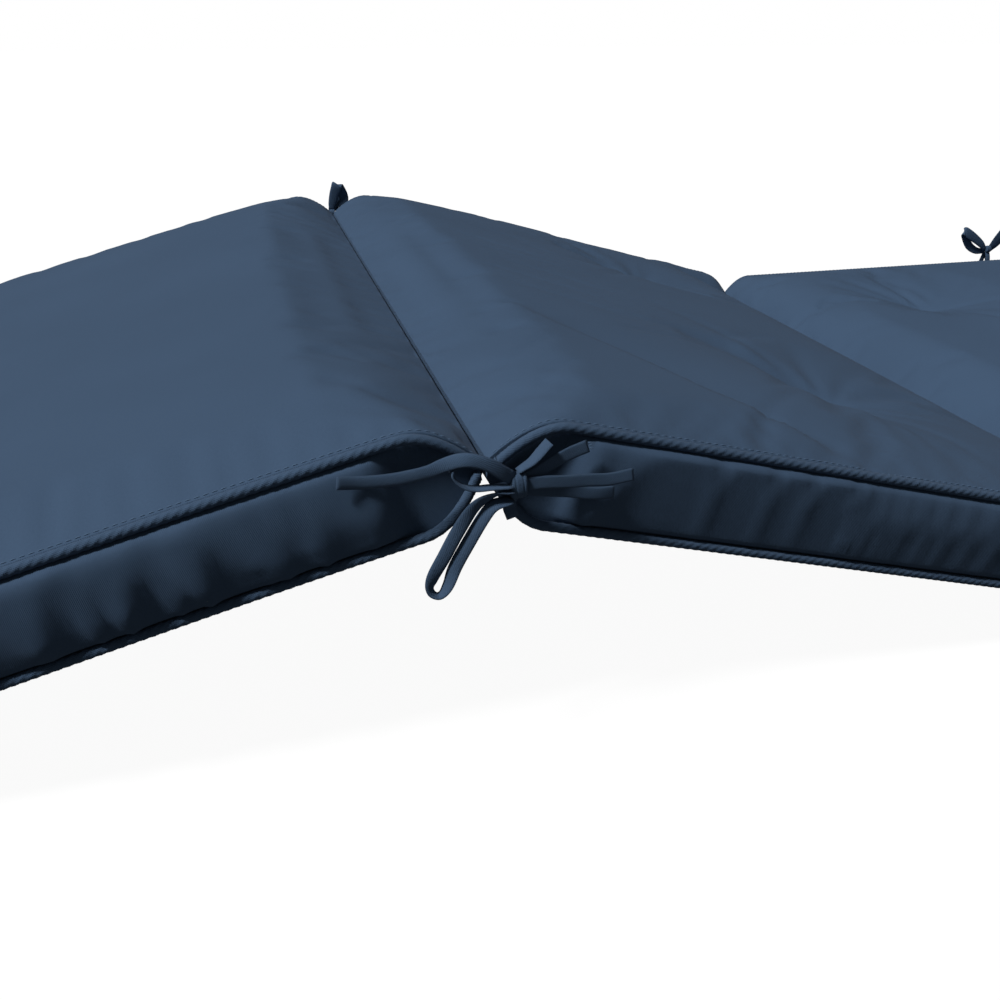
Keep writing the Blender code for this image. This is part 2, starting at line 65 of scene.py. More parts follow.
# %% Sizes read from the model, and sewing sizes
MM = 0.001
FOOT_BOX, SEAT_BOX, BACK_BOX = [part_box(name + "_pad") for name in ("foot", "seat", "back")]
PIPING_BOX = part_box("back_piping_top")
WIDTH = PIPING_BOX[1][1] - PIPING_BOX[0][1]
THICK = 0.047
FOLD1_X = (FOOT_BOX[1][0] + SEAT_BOX[0][0]) / 2
FOLD2_X = (SEAT_BOX[1][0] + BACK_BOX[0][0]) / 2
HEAD_X = PIPING_BOX[1][0]
FOOT_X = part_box("foot_piping_top")[0][0]

FOOT_SLOPE = math.radians(12.0)
SEAT_SLOPE = math.radians(14.7)
SEAT_LENGTH = (FOLD2_X - FOLD1_X) / math.cos(SEAT_SLOPE)
BACK_LENGTH = HEAD_X - FOLD2_X
MIDDLE_Z = THICK / 2 + 0.001
FOLD1_Z = MIDDLE_Z + SEAT_LENGTH * math.sin(SEAT_SLOPE)
FOOT_REACH = 0.440
FOOT_PULL = (0.140, 0.060)
CORNER = 0.012

PIPING = 0.0045
PIPING_DROP = 0.00145
COVER_INSET = 0.0050
SEAM = 0.004
TAPER = 0.028
HALF_EDGE = THICK / 2 - (PIPING / 2 - PIPING_DROP)
FOLD_CLEAR = 0.0006
TUFT_Y = 0.150
print("width %.3f, seat section %.3f, back section %.3f" % (WIDTH, SEAT_LENGTH, BACK_LENGTH))

# %% [markdown]
# ## The camera
# It stands in front of the knee fold and looks down on it by 25 degrees, so the raised fold is in the
# middle of the frame and both end sections run out of it.

# %% Camera
CAMERA_YAW = math.radians(14.25)
CAMERA_PITCH = math.radians(25.33)
CAMERA_ROLL = math.radians(0.11)
CAMERA_FROM_FOLD = (-0.0815, -0.6419, 0.1535)
SENSOR = 36.0


def make_camera():
    """A camera at its place from the knee fold, turned by yaw, pitch and roll in that order."""
    lens = bpy.data.cameras.new("camera")
    lens.sensor_width = SENSOR
    lens.lens = SENSOR
    made = bpy.data.objects.new("camera", lens)
    bpy.context.collection.objects.link(made)
    dx, dy, dz = CAMERA_FROM_FOLD
    made.location = (FOLD1_X + dx, dy, FOLD1_Z + dz)
    made.rotation_mode = "XYZ"
    made.rotation_euler = (math.pi / 2 - CAMERA_PITCH, CAMERA_ROLL, -CAMERA_YAW)
    bpy.context.scene.camera = made
    return made


CAMERA = make_camera()
print("camera at", tuple(round(v, 3) for v in CAMERA.location))

# %% [markdown]
# ## Coordinates of a section
# Sewing is easier on a flat table. Each section has three coordinates of its own: s along it from a
# fold, y across it, and n, the height over its middle plane. A place function then bends that flat
# piece into the world, so a crease can be drawn flat and still follow the sweep of the foot section.

# %% From flat sections to the world
SWEEP_STEPS = 400
SLOPE_STEP = 0.002


def foot_sweep():
    """Middle line of the foot section from fold 1: run lengths and points (forward, up).

    A cubic Bezier (1-t)^3 P0 + 3t(1-t)^2 P1 + 3t^2(1-t) P2 + t^3 P3, then a straight end."""
    ends = np.array([(0.0, FOLD1_Z),
                     (FOOT_PULL[0] * math.cos(FOOT_SLOPE),
                      FOLD1_Z - FOOT_PULL[0] * math.sin(FOOT_SLOPE)),
                     (FOOT_REACH - FOOT_PULL[1], MIDDLE_Z),
                     (FOOT_REACH, MIDDLE_Z)])
    t = np.linspace(0, 1, SWEEP_STEPS)[:, None]
    weights = ((1 - t) ** 3, 3 * t * (1 - t) ** 2, 3 * t ** 2 * (1 - t), t ** 3)
    points = sum(weight * end for weight, end in zip(weights, ends))
    points = np.vstack([points, (FOLD1_X - FOOT_X, MIDDLE_Z)])
    steps = np.linalg.norm(np.diff(points, axis=0), axis=1)
    return np.concatenate([[0], np.cumsum(steps)]), points


FOOT_RUN, FOOT_LINE = foot_sweep()
FOOT_LENGTH = FOOT_RUN[-1]


def place_foot(s, y, n):
    """World points of the foot section: n is measured square to its middle line."""
    at, before, after = [np.stack([np.interp(d, FOOT_RUN, axis) for axis in FOOT_LINE.T], -1)
                         for d in (s, np.clip(s - SLOPE_STEP, 0, FOOT_LENGTH - SLOPE_STEP),
                                   np.minimum(s + SLOPE_STEP, FOOT_LENGTH))]
    along = after - before
    along /= np.linalg.norm(along, axis=-1, keepdims=True)
    past = s - np.clip(s, 0, FOOT_LENGTH)
    return np.stack([FOLD1_X - at[..., 0] - past + n * along[..., 1],
                     y + 0 * s,
                     at[..., 1] + n * along[..., 0]], -1)


def place_seat(s, y, n):
    """World points of the seat section, which falls from fold 1 towards +X."""
    return np.stack([FOLD1_X + s * math.cos(SEAT_SLOPE) + n * math.sin(SEAT_SLOPE),
                     y + 0 * s,
                     FOLD1_Z - s * math.sin(SEAT_SLOPE) + n * math.cos(SEAT_SLOPE)], -1)


def place_back(s, y, n):
    """World points of the back section, which lies level from fold 2 towards +X."""
    return np.stack([FOLD2_X + s, y + 0 * s, MIDDLE_Z + n + 0 * s], -1)


Section = namedtuple("Section", "name place length tufts boxed")
FOOT = Section("foot", place_foot, FOOT_LENGTH, (0.420,), True)
SEAT = Section("seat", place_seat, SEAT_LENGTH, (0.250,), False)
BACK = Section("back", place_back, BACK_LENGTH, (0.140, 0.435, 0.730), True)
SECTIONS = (FOOT, SEAT, BACK)
print("foot section %.3f long" % FOOT_LENGTH)

# %% [markdown]
# ## Putting a surface into a mesh
# Nearly every piece here is a grid of points: a function of two parameters, worked out as one array.
# One helper turns such arrays into mesh objects, with a UV map in metres so that a weave keeps its
# real scale wherever the cloth goes.

# %% Mesh helpers
def add_mesh(name, points, faces, uv=None, smooth=True):
    """A mesh object from world points and index faces; uv holds one pair for each face corner."""
    mesh = bpy.data.meshes.new(name)
    points = np.asarray(points, np.float32).reshape(-1, 3)
    faces = np.asarray(faces, np.int32)
    mesh.vertices.add(len(points))
    mesh.vertices.foreach_set("co", points.ravel())
    mesh.loops.add(faces.size)
    mesh.loops.foreach_set("vertex_index", faces.ravel())
    mesh.polygons.add(len(faces))
    mesh.polygons.foreach_set("loop_start", np.arange(len(faces), dtype=np.int32) * faces.shape[1])
    mesh.polygons.foreach_set("loop_total", np.full(len(faces), faces.shape[1], np.int32))
    mesh.update(calc_edges=True)
    if uv is not None:
        layer = mesh.uv_layers.new(name="cloth")
        layer.data.foreach_set("uv", np.asarray(uv, np.float32).ravel())
    mesh.polygons.foreach_set("use_smooth", np.full(len(faces), smooth))
    mesh.validate()
    made = bpy.data.objects.new(name, mesh)
    bpy.context.collection.objects.link(made)
    return made


def grid_faces(rows, columns, closed=False):
    """Quads of a grid of points; closed joins its last column to its first."""
    index = np.arange(rows * columns).reshape(rows, columns)
    if closed:
        index = np.hstack([index, index[:, :1]])
    return np.stack([index[:-1, :-1], index[:-1, 1:], index[1:, 1:], index[1:, :-1]],
                    -1).reshape(-1, 4)


def grid_uv(u, v):
    """UV pairs for the corners of a grid's quads, from arrays of u and v at its points."""
    pair = np.stack([u, v], -1)
    return np.stack([pair[:-1, :-1], pair[:-1, 1:], pair[1:, 1:], pair[1:, :-1]], 2).reshape(-1, 2)


def finish_piece(piece, replaced, material):
    """Every piece rides on the one body, stands for its plain solids and takes a material slot."""
    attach(piece, "root")
    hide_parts(*replaced)
    piece.data.materials.clear()
    piece.data.materials.append(material)


def smoothstep(x, low, high):
    """0 below low, 1 above high, and 3t^2 - 2t^3 between them."""
    t = np.clip((x - low) / (high - low), 0, 1)
    return t * t * (3 - 2 * t)


COVER_CLOTH, PIPING_CLOTH, TIE_CLOTH, THREAD = [
    bpy.data.materials.new(name) for name in ("navy_canvas", "corded_piping", "tie_ribbon", "thread")]

# %% [markdown]
# ## The fabric ties
# A tie is a narrow strip of the cover's own cloth, folded in and stitched along one edge. It is limp,
# about 5.5 mm wide, and it was knotted by hand, so its route can't come from a formula. Each strand has
# a short list of places: millimetres along the cushion, outward from the piping and up, and how far
# the strip is rolled there. A Catmull-Rom curve runs through them and the strip's outline is carried
# along it. Ties come first in the making, because they stand furthest out of the cushion.

# %% Routes of the ties
TIE_WIDTH = 0.0055
TIE_THICK = 0.0012
LOOP_WIDTH = 0.0100
ALONG = (1, 0, 0)
OUTWARD = (0, 1, 0)
UP = (0, 0, 1)
BOW_ROUTES = {
    "root": (UP, (
        (0.0, -4.4, 0.0, 0), (0.1, -1.5, 0.0, 0), (0.7, 1.4, -1.6, 0), (2.6, 3.8, -3.6, 0),
        (6.2, 5.4, -5.0, 0))),
    "strap": (ALONG, (
        (9.6, 1.1, -19.6, 0), (8.6, 1.3, -16.6, 0), (8.4, 2.2, -13.6, 0), (9.0, 3.4, -11.6, 0),
        (9.6, 4.4, -10.4, 0))),
    "tail_left": (UP, (
        (6.4, 9.9, 0.6, 0), (2.6, 11.2, 3.6, 0), (-2.2, 11.6, 7.0, 0), (-8.2, 10.6, 9.0, 10),
        (-13.2, 8.8, 8.7, 20), (-18.4, 6.6, 6.4, 10), (-23.8, 5.4, 3.9, 0),
        (-31.8, 4.4, 2.2, 0), (-39.8, 3.6, 1.3, 0), (-49.4, 3.4, 1.5, 0), (-57.8, 4.4, 2.7, 0))),
    "ring": (OUTWARD, (
        (6.4, 4.6, 0.9, 0), (1.5, 4.4, 2.6, 0), (-5.0, 4.2, 3.8, 0), (-10.8, 4.6, 5.2, 0),
        (-14.6, 5.6, 4.0, 0), (-14.8, 6.6, 1.2, 0), (-11.8, 7.6, -2.0, 0), (-6.9, 8.0, -3.6, 0),
        (-1.1, 8.8, -3.4, 0), (5.9, 9.6, -3.2, 0))),
    "loop": (OUTWARD, (
        (6.4, 9.6, -5.6, 0), (0.5, 9.0, -6.8, 40), (-6.9, 9.0, -10.6, 75),
        (-13.6, 9.0, -20.0, 100), (-19.3, 9.0, -30.4, 100), (-24.2, 9.0, -39.3, 80),
        (-25.2, 9.2, -44.6, 35), (-22.2, 9.6, -47.2, 0), (-18.8, 9.8, -43.6, 30),
        (-15.4, 9.4, -35.6, 62), (-10.4, 9.2, -26.6, 62), (-3.6, 9.0, -15.4, 50),
        (0.6, 8.8, -11.0, 35), (6.6, 8.4, -10.0, 10))),
    "tail_high": (UP, (
        (14.3, 7.0, -1.8, 0), (17.5, 6.8, -0.6, 0), (22.9, 6.2, 2.2, 0), (30.6, 5.4, 5.5, 0),
        (38.4, 5.6, 8.2, 0))),
    "tail_tip": (OUTWARD, (
        (11.2, 7.6, 2.4, 0), (15.4, 7.4, 4.8, 10), (18.5, 7.0, 7.6, 20), (20.9, 6.6, 10.0, 20),
        (22.7, 6.4, 11.8, 20))),
    "tail_mid": (UP, (
        (14.2, 8.9, -3.6, 0), (20.7, 9.0, -3.6, 0), (29.3, 8.8, -4.4, 0), (39.3, 8.4, -5.0, 0),
        (47.0, 8.6, -5.4, 0), (56.3, 9.4, -4.0, 0))),
    "tail_low": (UP, (
        (13.2, 5.6, -6.6, 0), (17.0, 5.2, -7.6, 0), (23.0, 4.6, -9.2, 0), (32.0, 4.6, -10.6, 0),
        (41.0, 5.0, -12.4, 0), (50.0, 5.8, -12.6, 0))),
}
STANDING_LOOPS = {
    "loop_left": ((0.95, 0, -0.3), (
        (0.2, 2.8, 4.3, 0), (1.2, 2.9, 9.0, 0), (3.2, 2.9, 16.0, 0), (5.6, 2.9, 22.4, 0),
        (6.8, 3.9, 24.6, 0), (8.0, 5.0, 22.0, 0), (11.2, 5.0, 16.0, 0), (12.2, 4.7, 11.0, 0),
        (8.6, 3.8, 5.6, 0))),
    "loop_right": ((0.85, 0, -0.5), (
        (0.6, 5.8, 4.3, 0), (3.2, 7.8, 9.6, 0), (6.8, 8.8, 14.0, 0), (8.6, 9.8, 15.8, 0),
        (8.6, 10.9, 12.6, 0), (6.2, 10.6, 8.0, 0), (3.0, 9.2, 3.6, 0))),
    "tail_left": (ALONG, (
        (-1.6, 4.0, -4.2, 0), (-5.0, 4.2, -12.0, 0), (-7.0, 3.8, -22.0, 0), (-8.0, 3.4, -34.0, 0),
        (-7.4, 3.4, -44.0, 0))),
}
LEANING_LOOPS = {
    "root": (ALONG, (
        (0.0, 1.1, -1.5, 0), (0.0, 1.2, 2.0, 0), (0.0, 2.2, 5.6, 0), (0.0, 3.8, 8.8, 0))),
    "loop_left": ((0.48, 0, 0.87), (
        (-5.0, 4.2, 13.6, 0), (-10.0, 3.6, 18.6, 0), (-18.5, 3.4, 24.6, 0), (-28.0, 3.6, 30.4, 0),
        (-33.4, 5.0, 33.0, 0), (-30.4, 6.4, 27.8, 0), (-23.5, 6.6, 17.6, 0), (-14.0, 6.4, 11.8, 0),
        (-5.2, 5.8, 10.8, 0))),
    "loop_right": ((-0.7, 0, 0.7), (
        (3.4, 4.4, 16.2, 0), (7.4, 4.0, 22.6, 0), (13.5, 3.8, 30.4, 0), (20.0, 4.0, 37.0, 0),
        (24.0, 5.4, 40.6, 0), (23.4, 6.8, 35.6, 0), (19.0, 6.8, 26.0, 0), (12.0, 6.6, 18.0, 0),
        (6.0, 6.2, 13.4, 0))),
    "tail_left": (ALONG, (
        (-1.8, 6.2, 8.6, 0), (-3.6, 6.6, 1.0, 0), (-7.0, 6.0, -9.0, 0), (-12.0, 5.0, -20.0, 0),
        (-19.0, 4.2, -30.0, 0), (-26.0, 3.8, -37.0, 0))),
    "tail_right": (ALONG, (
        (1.9, 8.0, 8.6, 0), (5.0, 8.4, 0.6, 0), (9.0, 7.4, -10.0, 0), (12.0, 6.0, -21.0, 0),
        (17.0, 5.0, -30.0, 0), (22.0, 4.4, -36.0, 0))),
}
SHORT_ENDS = {
    "tail_left": (UP, (
        (-3.5, 3.8, 0.6, 0), (-9.0, 4.4, 2.2, 0), (-17.0, 4.4, 1.6, 0), (-26.0, 4.0, -1.4, 0),
        (-34.0, 3.6, -6.6, 0), (-40.0, 3.4, -12.6, 0))),
    "tail_right": (UP, (
        (4.0, 4.0, -0.6, 0), (9.0, 4.6, 0.4, 0), (16.0, 4.8, 0.0, 0), (24.0, 4.4, -3.4, 0),
        (31.0, 4.0, -9.0, 0), (36.0, 3.6, -15.0, 0))),
}
BOW_KNOT = ((10.1, 7.9, -4.0), (3.4, 3.6, 5.3))
FOLD_KNOT = ((0.0, 2.7, 0.0), (3.0, 3.4, 3.6))
BACK_KNOT = ((0.0, 4.6, 13.0), (3.0, 3.4, 3.6))
BACK_TIE_AT = 0.320
print("strands in the bow:", len(BOW_ROUTES))

# %% Carry a folded strip along a route
RIBBON_STEPS = 10
RIBBON_OUTLINE = 14
RIBBON_SQUARE = 2.6
RIBBON_DISH = 0.4
RIBBON_END = 0.55
CORD_SHORTEST = 0.034
TUCK = 0.0016
KNOT_LEVELS = 29
KNOT_SIDES = 40
KNOT_END = 0.995
KNOT_SQUARE = 2.3
KNOT_RIM = 5
KNOT_LEAN = 0.12
KNOT_GROOVES = (-0.42, 0.50)
KNOT_GROOVE_DEPTH = 0.07
KNOT_GROOVE_WIDTH = 0.10


def through(route, steps):
    """A Catmull-Rom curve through the rows of route: on each span between rows b and c,
    half of 2b + (c-a)t + (2a-5b+4c-d)t^2 + (3b-a-3c+d)t^3."""
    rows = np.array(route, float)
    rows = np.vstack([2 * rows[0] - rows[1], rows, 2 * rows[-1] - rows[-2]])
    t = np.arange(steps)[:, None] / steps
    spans = [0.5 * (2 * b + (c - a) * t + (2 * a - 5 * b + 4 * c - d) * t ** 2
                    + (3 * b - a - 3 * c + d) * t ** 3)
             for a, b, c, d in zip(rows, rows[1:], rows[2:], rows[3:])]
    return np.vstack([*spans, rows[-2:-1]])


def tie_place(seat, side, millimetres):
    """World points from millimetres along, outward and up from a tie's seat."""
    x, z = seat
    along, outward, up = np.moveaxis(np.asarray(millimetres, float) * MM, -1, 0)
    return np.stack([x + along, side * (WIDTH / 2 + outward), z + up], -1)


def ribbon(name, seat, side, route, broad, widest, tucked):
    """A folded strip: a flat superellipse outline, |x/a|^2.6 + |y/b|^2.6 = 1, dished by a fifth of
    its thickness, carried along the route with its roll, and as wide as TIE_WIDTH plus the rest of
    widest times sin(pi t). It starts inside the knot, and a tucked one ends there too. Returns the
    object and its middle line."""
    rows = through(route, RIBBON_STEPS)
    path = tie_place(seat, side, rows[:, :3])
    run = np.gradient(path, axis=0)
    run /= np.linalg.norm(run, axis=1, keepdims=True)
    lie = np.array(broad, float) * (1, side, 1)
    width = lie - (run @ lie)[:, None] * run
    width /= np.linalg.norm(width, axis=1, keepdims=True)
    face = np.cross(run, width)
    roll = np.radians(rows[:, 3])[:, None]
    width, face = (np.cos(roll) * width + np.sin(roll) * face,
                   np.cos(roll) * face - np.sin(roll) * width)

    turn = np.arange(RIBBON_OUTLINE) * 2 * math.pi / RIBBON_OUTLINE
    squared = 2 / RIBBON_SQUARE
    a = np.sign(np.cos(turn)) * np.abs(np.cos(turn)) ** squared
    b = np.sign(np.sin(turn)) * np.abs(np.sin(turn)) ** squared
    dish = RIBBON_DISH * (a ** 2 - 0.5)
    ends = np.ones(len(path))
    ends[[0, -1]] = RIBBON_END
    half = (TIE_WIDTH + (widest - TIE_WIDTH) * np.sin(np.linspace(0, math.pi, len(path)))) / 2
    drawn = path.copy()
    drawn[0] -= TUCK * run[0]
    if tucked:
        drawn[-1] += TUCK * run[-1]
    points = (drawn[:, None]
              + half[:, None, None] * a[None, :, None] * width[:, None]
              + TIE_THICK / 2 * ends[:, None, None] * (b + dish)[None, :, None] * face[:, None])
    run_length = np.concatenate([[0], np.cumsum(np.linalg.norm(np.diff(path, axis=0), axis=1))])
    outline = np.concatenate([[0], np.cumsum(np.hypot(np.diff(a), np.diff(b)))]) * TIE_WIDTH / 2
    outline = np.append(outline, outline[-1] + outline[1])
    u, v = np.meshgrid(run_length, outline, indexing="ij")
    faces = grid_faces(len(path), RIBBON_OUTLINE, closed=True)
    made = add_mesh(name, points, faces, grid_uv(u, v))
    close_ends(made, len(path), RIBBON_OUTLINE)
    return made, path


def close_ends(piece, rings, sides):
    """Fill the first and the last ring of a loft and turn every face outwards."""
    shell = bmesh.new()
    shell.from_mesh(piece.data)
    shell.verts.ensure_lookup_table()
    first = [shell.verts[k] for k in range(sides)]
    last = [shell.verts[(rings - 1) * sides + k] for k in range(sides)]
    shell.faces.new(first)
    shell.faces.new(last)
    bmesh.ops.recalc_face_normals(shell, faces=shell.faces)
    shell.to_mesh(piece.data)
    shell.free()


def knot(name, seat, side, middle, half):
    """A strip wrapped round the others: an upright oval, |x|^2.3 + |y|^2.3 = 1, drawn along the
    cushion. Its radius drops at both rims as (1 - |level|^5)^(1/5), and two grooves part its turns."""
    level, turn = np.meshgrid(np.linspace(-KNOT_END, KNOT_END, KNOT_LEVELS),
                              np.arange(KNOT_SIDES) * 2 * math.pi / KNOT_SIDES, indexing="ij")
    rim = (1 - np.abs(level) ** KNOT_RIM) ** (1 / KNOT_RIM)
    lean = level + KNOT_LEAN * np.sin(turn)
    groove = sum(np.exp(-((lean - at) / KNOT_GROOVE_WIDTH) ** 2) for at in KNOT_GROOVES)
    swell = rim * (1 - KNOT_GROOVE_DEPTH * groove)
    oval = 2 / KNOT_SQUARE
    across, upward = [np.sign(wave) * np.abs(wave) ** oval for wave in (np.cos(turn), np.sin(turn))]
    spot = np.stack([middle[0] + half[0] * level,
                     middle[1] + half[1] * swell * across,
                     middle[2] + half[2] * swell * upward], -1)
    points = tie_place(seat, side, spot)
    faces = grid_faces(*level.shape, closed=True)
    u = np.hstack([turn, turn[:, :1] + 2 * math.pi]) * half[2] * MM
    v = np.hstack([level, level[:, :1]]) * half[0] * MM
    made = add_mesh(name, points, faces, grid_uv(u, v))
    close_ends(made, *level.shape)
    return made


def tie(prefix, seat, side, wrap, routes):
    """All strands of one tie and its knot, with the lengths of its longer strands printed."""
    heart = knot(prefix + "_wrap", seat, side, *wrap)
    finish_piece(heart, [prefix + "_knot"], TIE_CLOTH)
    strands, small = [], [heart]
    for part, (broad, route) in routes.items():
        widest = LOOP_WIDTH if part.startswith("loop_") else TIE_WIDTH
        tucked = not part.startswith("tail")
        made, path = ribbon(prefix + "_" + part + "_strip", seat, side, route, broad, widest, tucked)
        finish_piece(made, [prefix + "_" + part], TIE_CLOTH)
        length = float(np.linalg.norm(np.diff(path, axis=0), axis=1).sum())
        if length < CORD_SHORTEST:
            small.append(made)
        else:
            strands.append((made, path, length, "knot" if tucked else "bare"))
    for count, (made, path, length, far_end) in enumerate(strands):
        print("%-26s %5.1f mm" % (made.name, length / MM))


FOLD1 = (FOLD1_X, FOLD1_Z)
FOLD2 = (FOLD2_X, MIDDLE_Z)
BACK_SEAT = (FOLD2_X + BACK_TIE_AT, MIDDLE_Z + HALF_EDGE - PIPING_DROP)
tie("fold1_near", FOLD1, -1, BOW_KNOT, BOW_ROUTES)
tie("fold1_far", FOLD1, 1, FOLD_KNOT, STANDING_LOOPS)
for word, way in (("near", -1), ("far", 1)):
    tie("fold2_" + word, FOLD2, way, FOLD_KNOT, SHORT_ENDS)
    tie("back_" + word, BACK_SEAT, way, BACK_KNOT, LEANING_LOOPS)

# %% [markdown]
# ## The filled sections
# A tufted cover is never flat. The fibre pushes the cloth up between its seams and its tufts, and the
# tufts pull creases out of it like the spokes of a wheel. A formula draws the plan of that relief, and
# Blender's cloth solver then blows the flat panel out between what is sewn down, which gives the soft
# puffs that a formula misses. The solver works on the flat panel, with its seams and its tufts held,
# and the place function bends the result into the world afterwards.

# %% Where the points of a cover stand
GRID = 0.0076
CORNER_STEPS = 4
SIDE_COLUMNS = (1.0, 0.9955, 0.987)
FOLD_STEPS = (0.0009, 0.0022, 0.0042, 0.0075)


def cover_rows(part):
    """Distances of the cover's rows: close at a sewn fold, even between, round a boxed corner."""
    radius = CORNER - COVER_INSET
    start = [FOLD_CLEAR + step for step in (0, *FOLD_STEPS)]
    if part.boxed:
        turn = np.arange(CORNER_STEPS + 1) * math.pi / 2 / CORNER_STEPS
        stop = part.length - CORNER + radius * np.sin(turn)
    else:
        stop = part.length - np.array(start[::-1])
    count = int(math.ceil((stop[0] - start[-1]) / GRID))
    middle = np.linspace(start[-1], stop[0], count + 1)[1:-1]
    return np.concatenate([start, middle, stop])


def cover_grid(part):
    """s and y of the cover's points: y = v times the half width there, which narrows on the corners'
    arcs as r cos t while s grows as r sin t."""
    rows = cover_rows(part)
    radius = CORNER - COVER_INSET
    half = np.full(len(rows), WIDTH / 2 - COVER_INSET)
    if part.boxed:
        past = np.clip(rows - (part.length - CORNER), 0, radius)
        half = WIDTH / 2 - CORNER + np.sqrt(radius ** 2 - past ** 2)
    side = np.array(SIDE_COLUMNS)
    count = int(round(2 * WIDTH / 2 * side[-1] / GRID))
    v = np.concatenate([-side[:-1], np.linspace(-side[-1], side[-1], count + 1), side[:-1][::-1]])
    return np.broadcast_to(rows[:, None], (len(rows), len(v))).copy(), half[:, None] * v


for part in SECTIONS:
    print(part.name, "cover grid", cover_grid(part)[0].shape)

# %% [markdown]
# The relief has three scales. The crown rises from every seam as 1 - exp(-d/w), and each tuft pulls a
# cone of depth * exp(-r/spread) out of it. Spokes run out of the tufts: narrow troughs at uneven
# angles, strongest a little way out. Last come single creases, where the photo shows them, and a fine
# gathering along the piped seams.

# %% The relief of a cover
CROWN = 0.0075
CROWN_EDGE = 0.035
TUFT_DEPTH = 0.017
TUFT_SPREAD = 0.038
REST_CROWN = 0.0018
UNDER_EDGE = 0.020
UNDER_TUFT = (0.007, 0.060)
RAMP_RISE = 0.27
RAMP_SOFT = (0.2, 0.008)
SHOULDER_RISE = 0.95
SHOULDER_SOFT = (0.1, 0.003)
RAMP_SIDE = (0.005, 0.045)
SPOKE_REACH = 0.017
SPOKE_SEED = 7
SPOKE_COUNT = (9, 12)
SPOKE_STRAY = (-0.3, 0.3)
SPOKE_WIDTH = (0.10, 0.20)
SPOKE_DEPTH = (0.5 * MM, 1.7 * MM)
SPOKE_STRETCH = (0.8, 1.9)
SPOKE_BEND = (-4, 4)
CREASE_IN = (-0.1, 0.2)
CREASE_OUT = (0.5, 1.1)
CREASE_WIDEN = (0.7, 0.6)
GATHER_PITCHES = (0.011, 0.017, 0.029)
GATHER_HEIGHT = 0.22 * MM
GATHER_REACH = 0.006
GATHER_SLANT = 60
GATHER_PATCH = 0.13


def half_edge(part, s, lag=0.0):
    """Half thickness at the seam line: 1 - (1-t)^2 up from each sewn fold over the taper."""
    def climb(distance):
        share = np.clip((distance - lag) / TAPER, 0, 1)
        return 1 - (1 - share) ** 2
    shape = climb(s - FOLD_CLEAR)
    if not part.boxed:
        shape = shape * climb(part.length - FOLD_CLEAR - s)
    return SEAM / 2 + (HALF_EDGE - SEAM / 2) * shape


def edge_distances(part, s, y):
    """Distances inside the cover's edge: from the nearer long side, and from both ends."""
    last = COVER_INSET if part.boxed else FOLD_CLEAR
    return [np.clip(d, 0, None)
            for d in (WIDTH / 2 - COVER_INSET - np.abs(y), s - FOLD_CLEAR, part.length - last - s)]


def tufts_of(part):
    """Places (s, y) of a section's tufts."""
    return [(row, side) for row in part.tufts for side in (-TUFT_Y, TUFT_Y)]


def top_relief(part, s, y):
    """Crown times the rise from the seams, less the cones of the tufts."""
    rise = np.prod([1 - np.exp(-d / CROWN_EDGE) for d in edge_distances(part, s, y)], axis=0)
    pull = sum(TUFT_DEPTH * np.exp(-np.hypot(s - row, y - side) / TUFT_SPREAD)
               for row, side in tufts_of(part))
    return rise * (CROWN - pull)


def top_height(part, s, y):
    """Seam line plus relief. Between its long edges the seat falls to fold 2 in a long ramp, and the
    foot to fold 1 in a short one: the softened lesser of ramp a and crown b,
    (a + b - sqrt((a - b)^2 + k^2)) / 2."""
    top = half_edge(part, s) + top_relief(part, s, y)
    across, after, before = edge_distances(part, s, y)
    if part.name == "back":
        return top
    if part.name == "foot":
        run, rise, (share, most) = after, SHOULDER_RISE, SHOULDER_SOFT
    else:
        run, rise, (share, most) = before, RAMP_RISE, RAMP_SOFT
    ramp = SEAM / 2 + rise * run
    soft = np.minimum(share * run, most)
    lesser = (top + ramp - np.sqrt((top - ramp) ** 2 + soft ** 2)) / 2
    return top + smoothstep(across, *RAMP_SIDE) * (lesser - top)


def under_relief(part, s, y):
    """The level underside, with a shallow hollow (1 - (r/reach)^2)^2 at each tuft."""
    rise = np.prod([np.clip(d / UNDER_EDGE, 0, 1) for d in edge_distances(part, s, y)], axis=0)
    depth, reach = UNDER_TUFT
    pull = sum(depth * np.clip(1 - (np.hypot(s - row, y - side) / reach) ** 2, 0, 1) ** 2
               for row, side in tufts_of(part))
    return rise * REST_CROWN - pull


def spokes(part, s, y, seed):
    """Troughs round each tuft: depth * exp(-(angle off the spoke / its width)^2), times
    (r/reach) e^(1 - r/reach), which is strongest at r = reach."""
    random = np.random.default_rng(seed)
    total = np.zeros_like(s)
    for row, side in tufts_of(part):
        r = np.hypot(s - row, y - side)
        angle = np.arctan2(y - side, s - row)
        count = int(random.integers(*SPOKE_COUNT))
        lean = random.uniform(0, 2 * math.pi)
        for k in range(count):
            middle = lean + 2 * math.pi * (k + random.uniform(*SPOKE_STRAY)) / count
            width = random.uniform(*SPOKE_WIDTH)
            depth = random.uniform(*SPOKE_DEPTH)
            reach = SPOKE_REACH * random.uniform(*SPOKE_STRETCH)
            bend = random.uniform(*SPOKE_BEND)
            off = np.angle(np.exp(1j * (angle - middle - bend * r)))
            total -= depth * np.exp(-(off / width) ** 2) * r / reach * np.exp(1 - r / reach)
    return total


